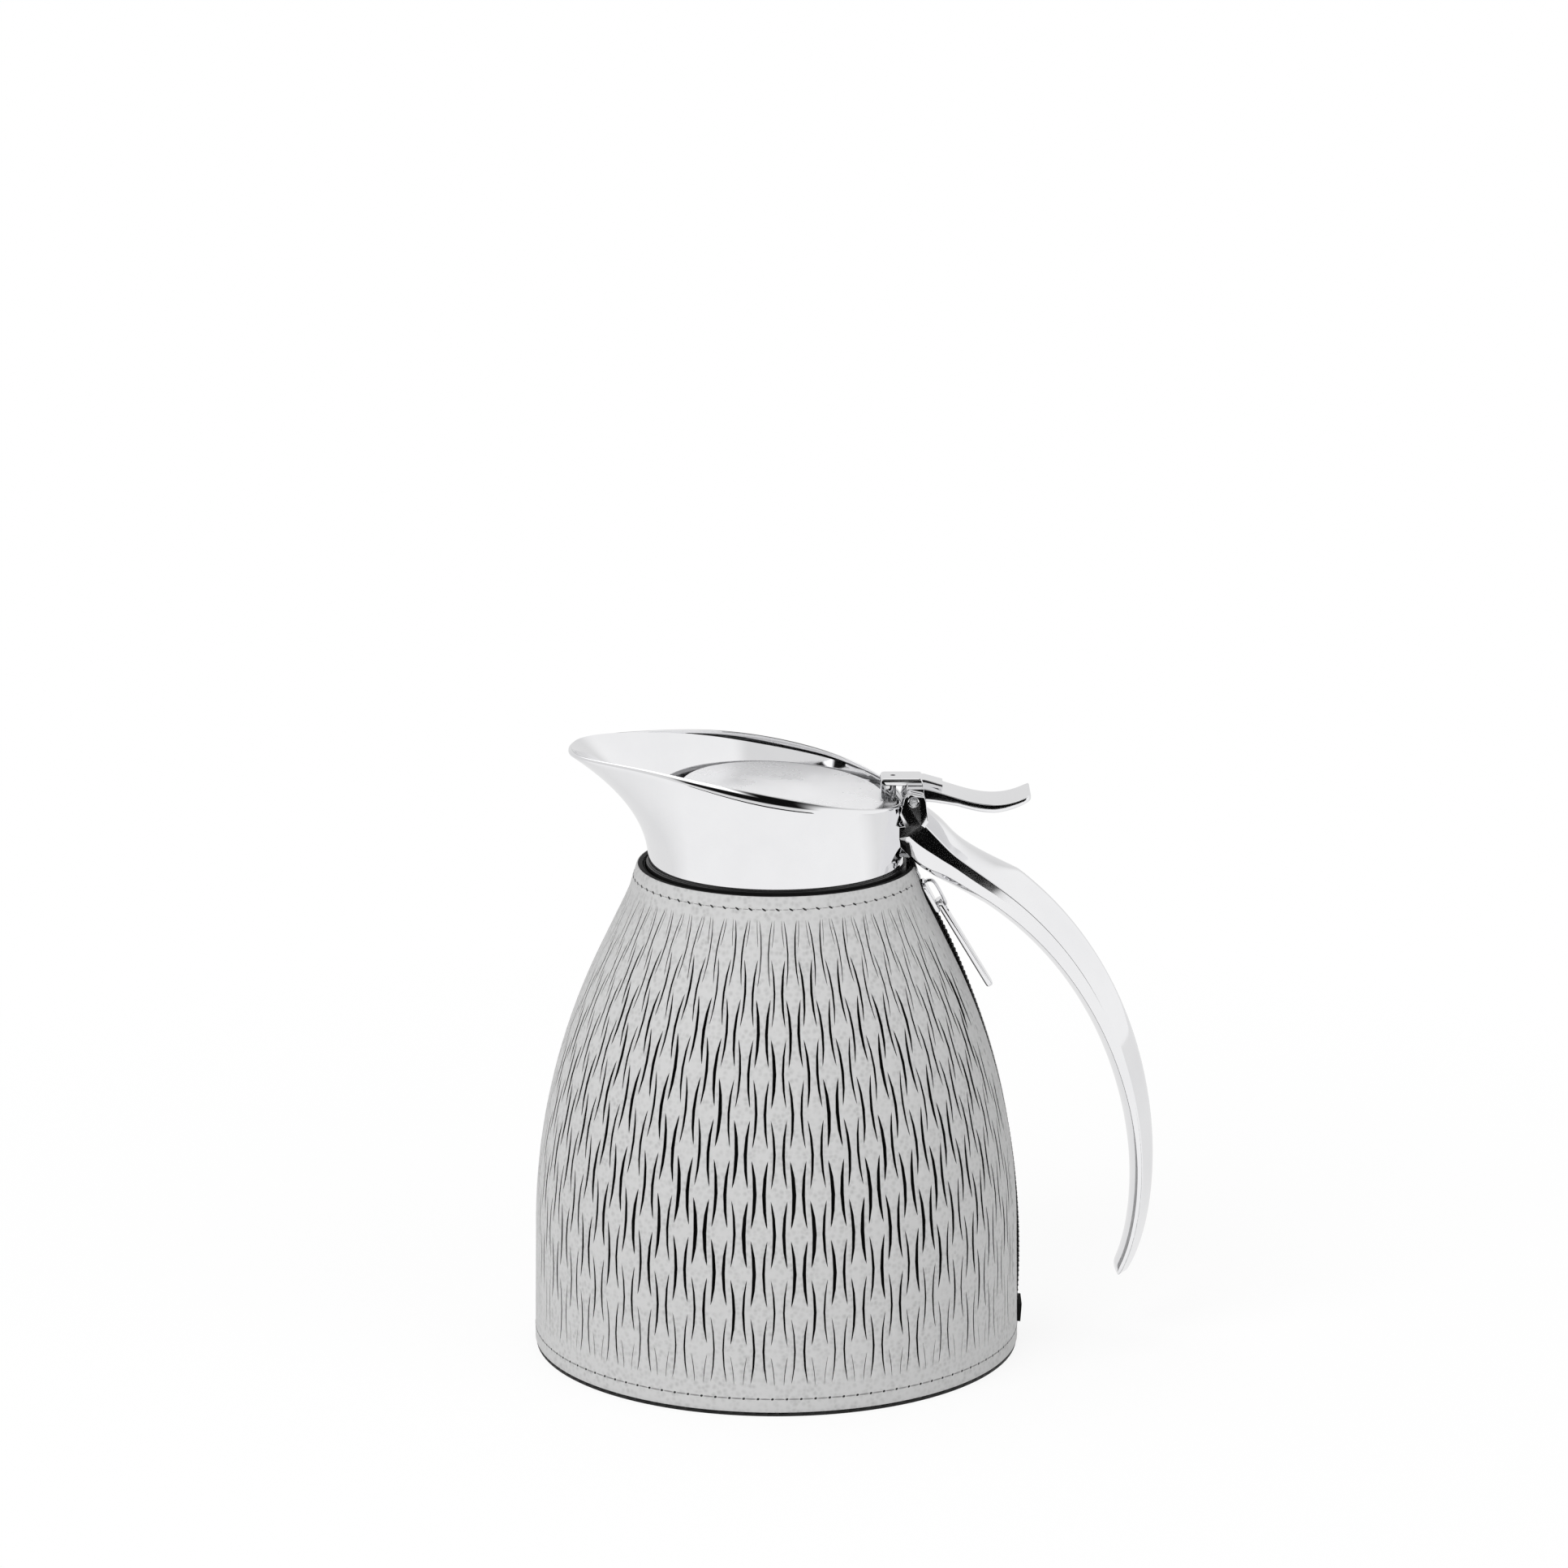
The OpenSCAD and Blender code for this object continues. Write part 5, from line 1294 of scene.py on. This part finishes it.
class StageSettings(bpy.types.PropertyGroup):
    floor_colour: colour("Floor", "Colour of the floor", "#F4F4F4")
    floor_glow: number("Floor glow", "Share of plain white in the floor near the pot as it is seen", 0.86)
    floor_behind: number("Floor behind", "Level of the floor behind the pot as metal shows it", 0.85)
    room_light: number("Room light", "Strength of the room's soft light", 0.5)
    window_power: number("Window", "Power of the lamp on the left", 22.0)
    fill_power: number("Fill", "Power of the lamp on the right", 6.0)
    top_power: number("Top", "Power of the lamp overhead", 10.0)
    card_near: length("Card, near edge", "Distance from the pot to the black card", 0.57)
    card_far: length("Card, far edge", "Distance at which the black card ends", 6.0)
    card_left: number("Card, left", "Reach of the card to the left, for each unit ahead", 1.4)
    card_right: number("Card, right", "Reach of the card to the right, for each unit ahead", 0.65)
    lens: number("Lens", "Focal length in millimetres", 130.24)
    camera_tilt: angle("Camera tilt", "Camera's turn up from looking straight down", 76.54)
    camera_place: bpy.props.FloatVectorProperty(name="Camera place", description="Where the camera stands",
                                                default=(0.00197, -1.4, 0.4822), size=3, subtype="XYZ",
                                                unit="LENGTH")


# ---------------------------------------------------------------- operators and panel


class COFFEE_OT_finishes(bpy.types.Operator):
    """Makes the finishes of leather, thread, metal, plastic and glass"""
    bl_idname = "coffee.finishes"
    bl_label = "Finishes"

    def execute(self, context):
        make_finishes(context.scene.coffee_cover, context.scene.coffee_metal)
        return {"FINISHED"}


class COFFEE_OT_cover(bpy.types.Operator):
    """Builds the slit leather cover"""
    bl_idname = "coffee.cover"
    bl_label = "Leather cover"

    def execute(self, context):
        build_cover(context.scene.coffee_cover)
        return {"FINISHED"}


class COFFEE_OT_seams(bpy.types.Operator):
    """Builds the lines of stitching"""
    bl_idname = "coffee.seams"
    bl_label = "Stitching"

    def execute(self, context):
        build_seams(context.scene.coffee_seam)
        return {"FINISHED"}


class COFFEE_OT_zip(bpy.types.Operator):
    """Builds the zip's teeth, slider and puller"""
    bl_idname = "coffee.zip"
    bl_label = "Zip"

    def execute(self, context):
        build_teeth(context.scene.coffee_seam)
        build_slider()
        build_puller()
        return {"FINISHED"}


class COFFEE_OT_collar(bpy.types.Operator):
    """Builds the chrome collar with its spout"""
    bl_idname = "coffee.collar"
    bl_label = "Collar"

    def execute(self, context):
        build_collar()
        return {"FINISHED"}


class COFFEE_OT_handle(bpy.types.Operator):
    """Builds the chrome handle with its ears"""
    bl_idname = "coffee.handle"
    bl_label = "Handle"

    def execute(self, context):
        build_handle(context.scene.coffee_metal)
        return {"FINISHED"}


class COFFEE_OT_lid(bpy.types.Operator):
    """Builds the lid plate, its bridge, its rivet and the thumb lever"""
    bl_idname = "coffee.lid"
    bl_label = "Lid and lever"

    def execute(self, context):
        build_lid_plate()
        build_bridge(context.scene.coffee_metal)
        build_post()
        build_lever(context.scene.coffee_metal)
        return {"FINISHED"}


class COFFEE_OT_insides(bpy.types.Operator):
    """Finishes the flask, the liner, the stopper and the small fixings"""
    bl_idname = "coffee.insides"
    bl_label = "Flask and fixings"

    def execute(self, context):
        build_insides()
        return {"FINISHED"}


class COFFEE_OT_stage(bpy.types.Operator):
    """Sets the floor, the room, the lamps and the camera"""
    bl_idname = "coffee.stage"
    bl_label = "Stage"

    def execute(self, context):
        stage = context.scene.coffee_stage
        context.scene.view_settings.view_transform = "Standard"
        build_floor(stage)
        build_card(stage)
        build_room(stage)
        build_lamps(stage)
        build_camera(stage)
        return {"FINISHED"}


OPERATORS = (COFFEE_OT_finishes, COFFEE_OT_cover, COFFEE_OT_seams, COFFEE_OT_zip, COFFEE_OT_collar,
             COFFEE_OT_handle, COFFEE_OT_lid, COFFEE_OT_insides, COFFEE_OT_stage)
SETTINGS = (("coffee_cover", CoverSettings), ("coffee_seam", SeamSettings), ("coffee_metal", MetalSettings),
            ("coffee_stage", StageSettings))


class COFFEE_PT_panel(bpy.types.Panel):
    """Lists the operators and the settings in the sidebar"""
    bl_idname = "COFFEE_PT_panel"
    bl_label = "Coffee pot"
    bl_space_type = "VIEW_3D"
    bl_region_type = "UI"
    bl_category = "Coffee pot"

    def draw(self, context):
        for kind in OPERATORS:
            self.layout.operator(kind.bl_idname)
        for name, kind in SETTINGS:
            box = self.layout.box()
            for key in kind.__annotations__:
                box.prop(getattr(context.scene, name), key)


def register():
    for name, kind in SETTINGS:
        bpy.utils.register_class(kind)
        setattr(bpy.types.Scene, name, bpy.props.PointerProperty(type=kind))
    for kind in OPERATORS + (COFFEE_PT_panel,):
        bpy.utils.register_class(kind)


def unregister():
    for kind in (COFFEE_PT_panel,) + OPERATORS[::-1]:
        bpy.utils.unregister_class(kind)
    for name, kind in SETTINGS[::-1]:
        delattr(bpy.types.Scene, name)
        bpy.utils.unregister_class(kind)


def main():
    register()
    for kind in OPERATORS:
        group, name = kind.bl_idname.split(".")
        getattr(getattr(bpy.ops, group), name)()


if __name__ == "__main__":
    main()
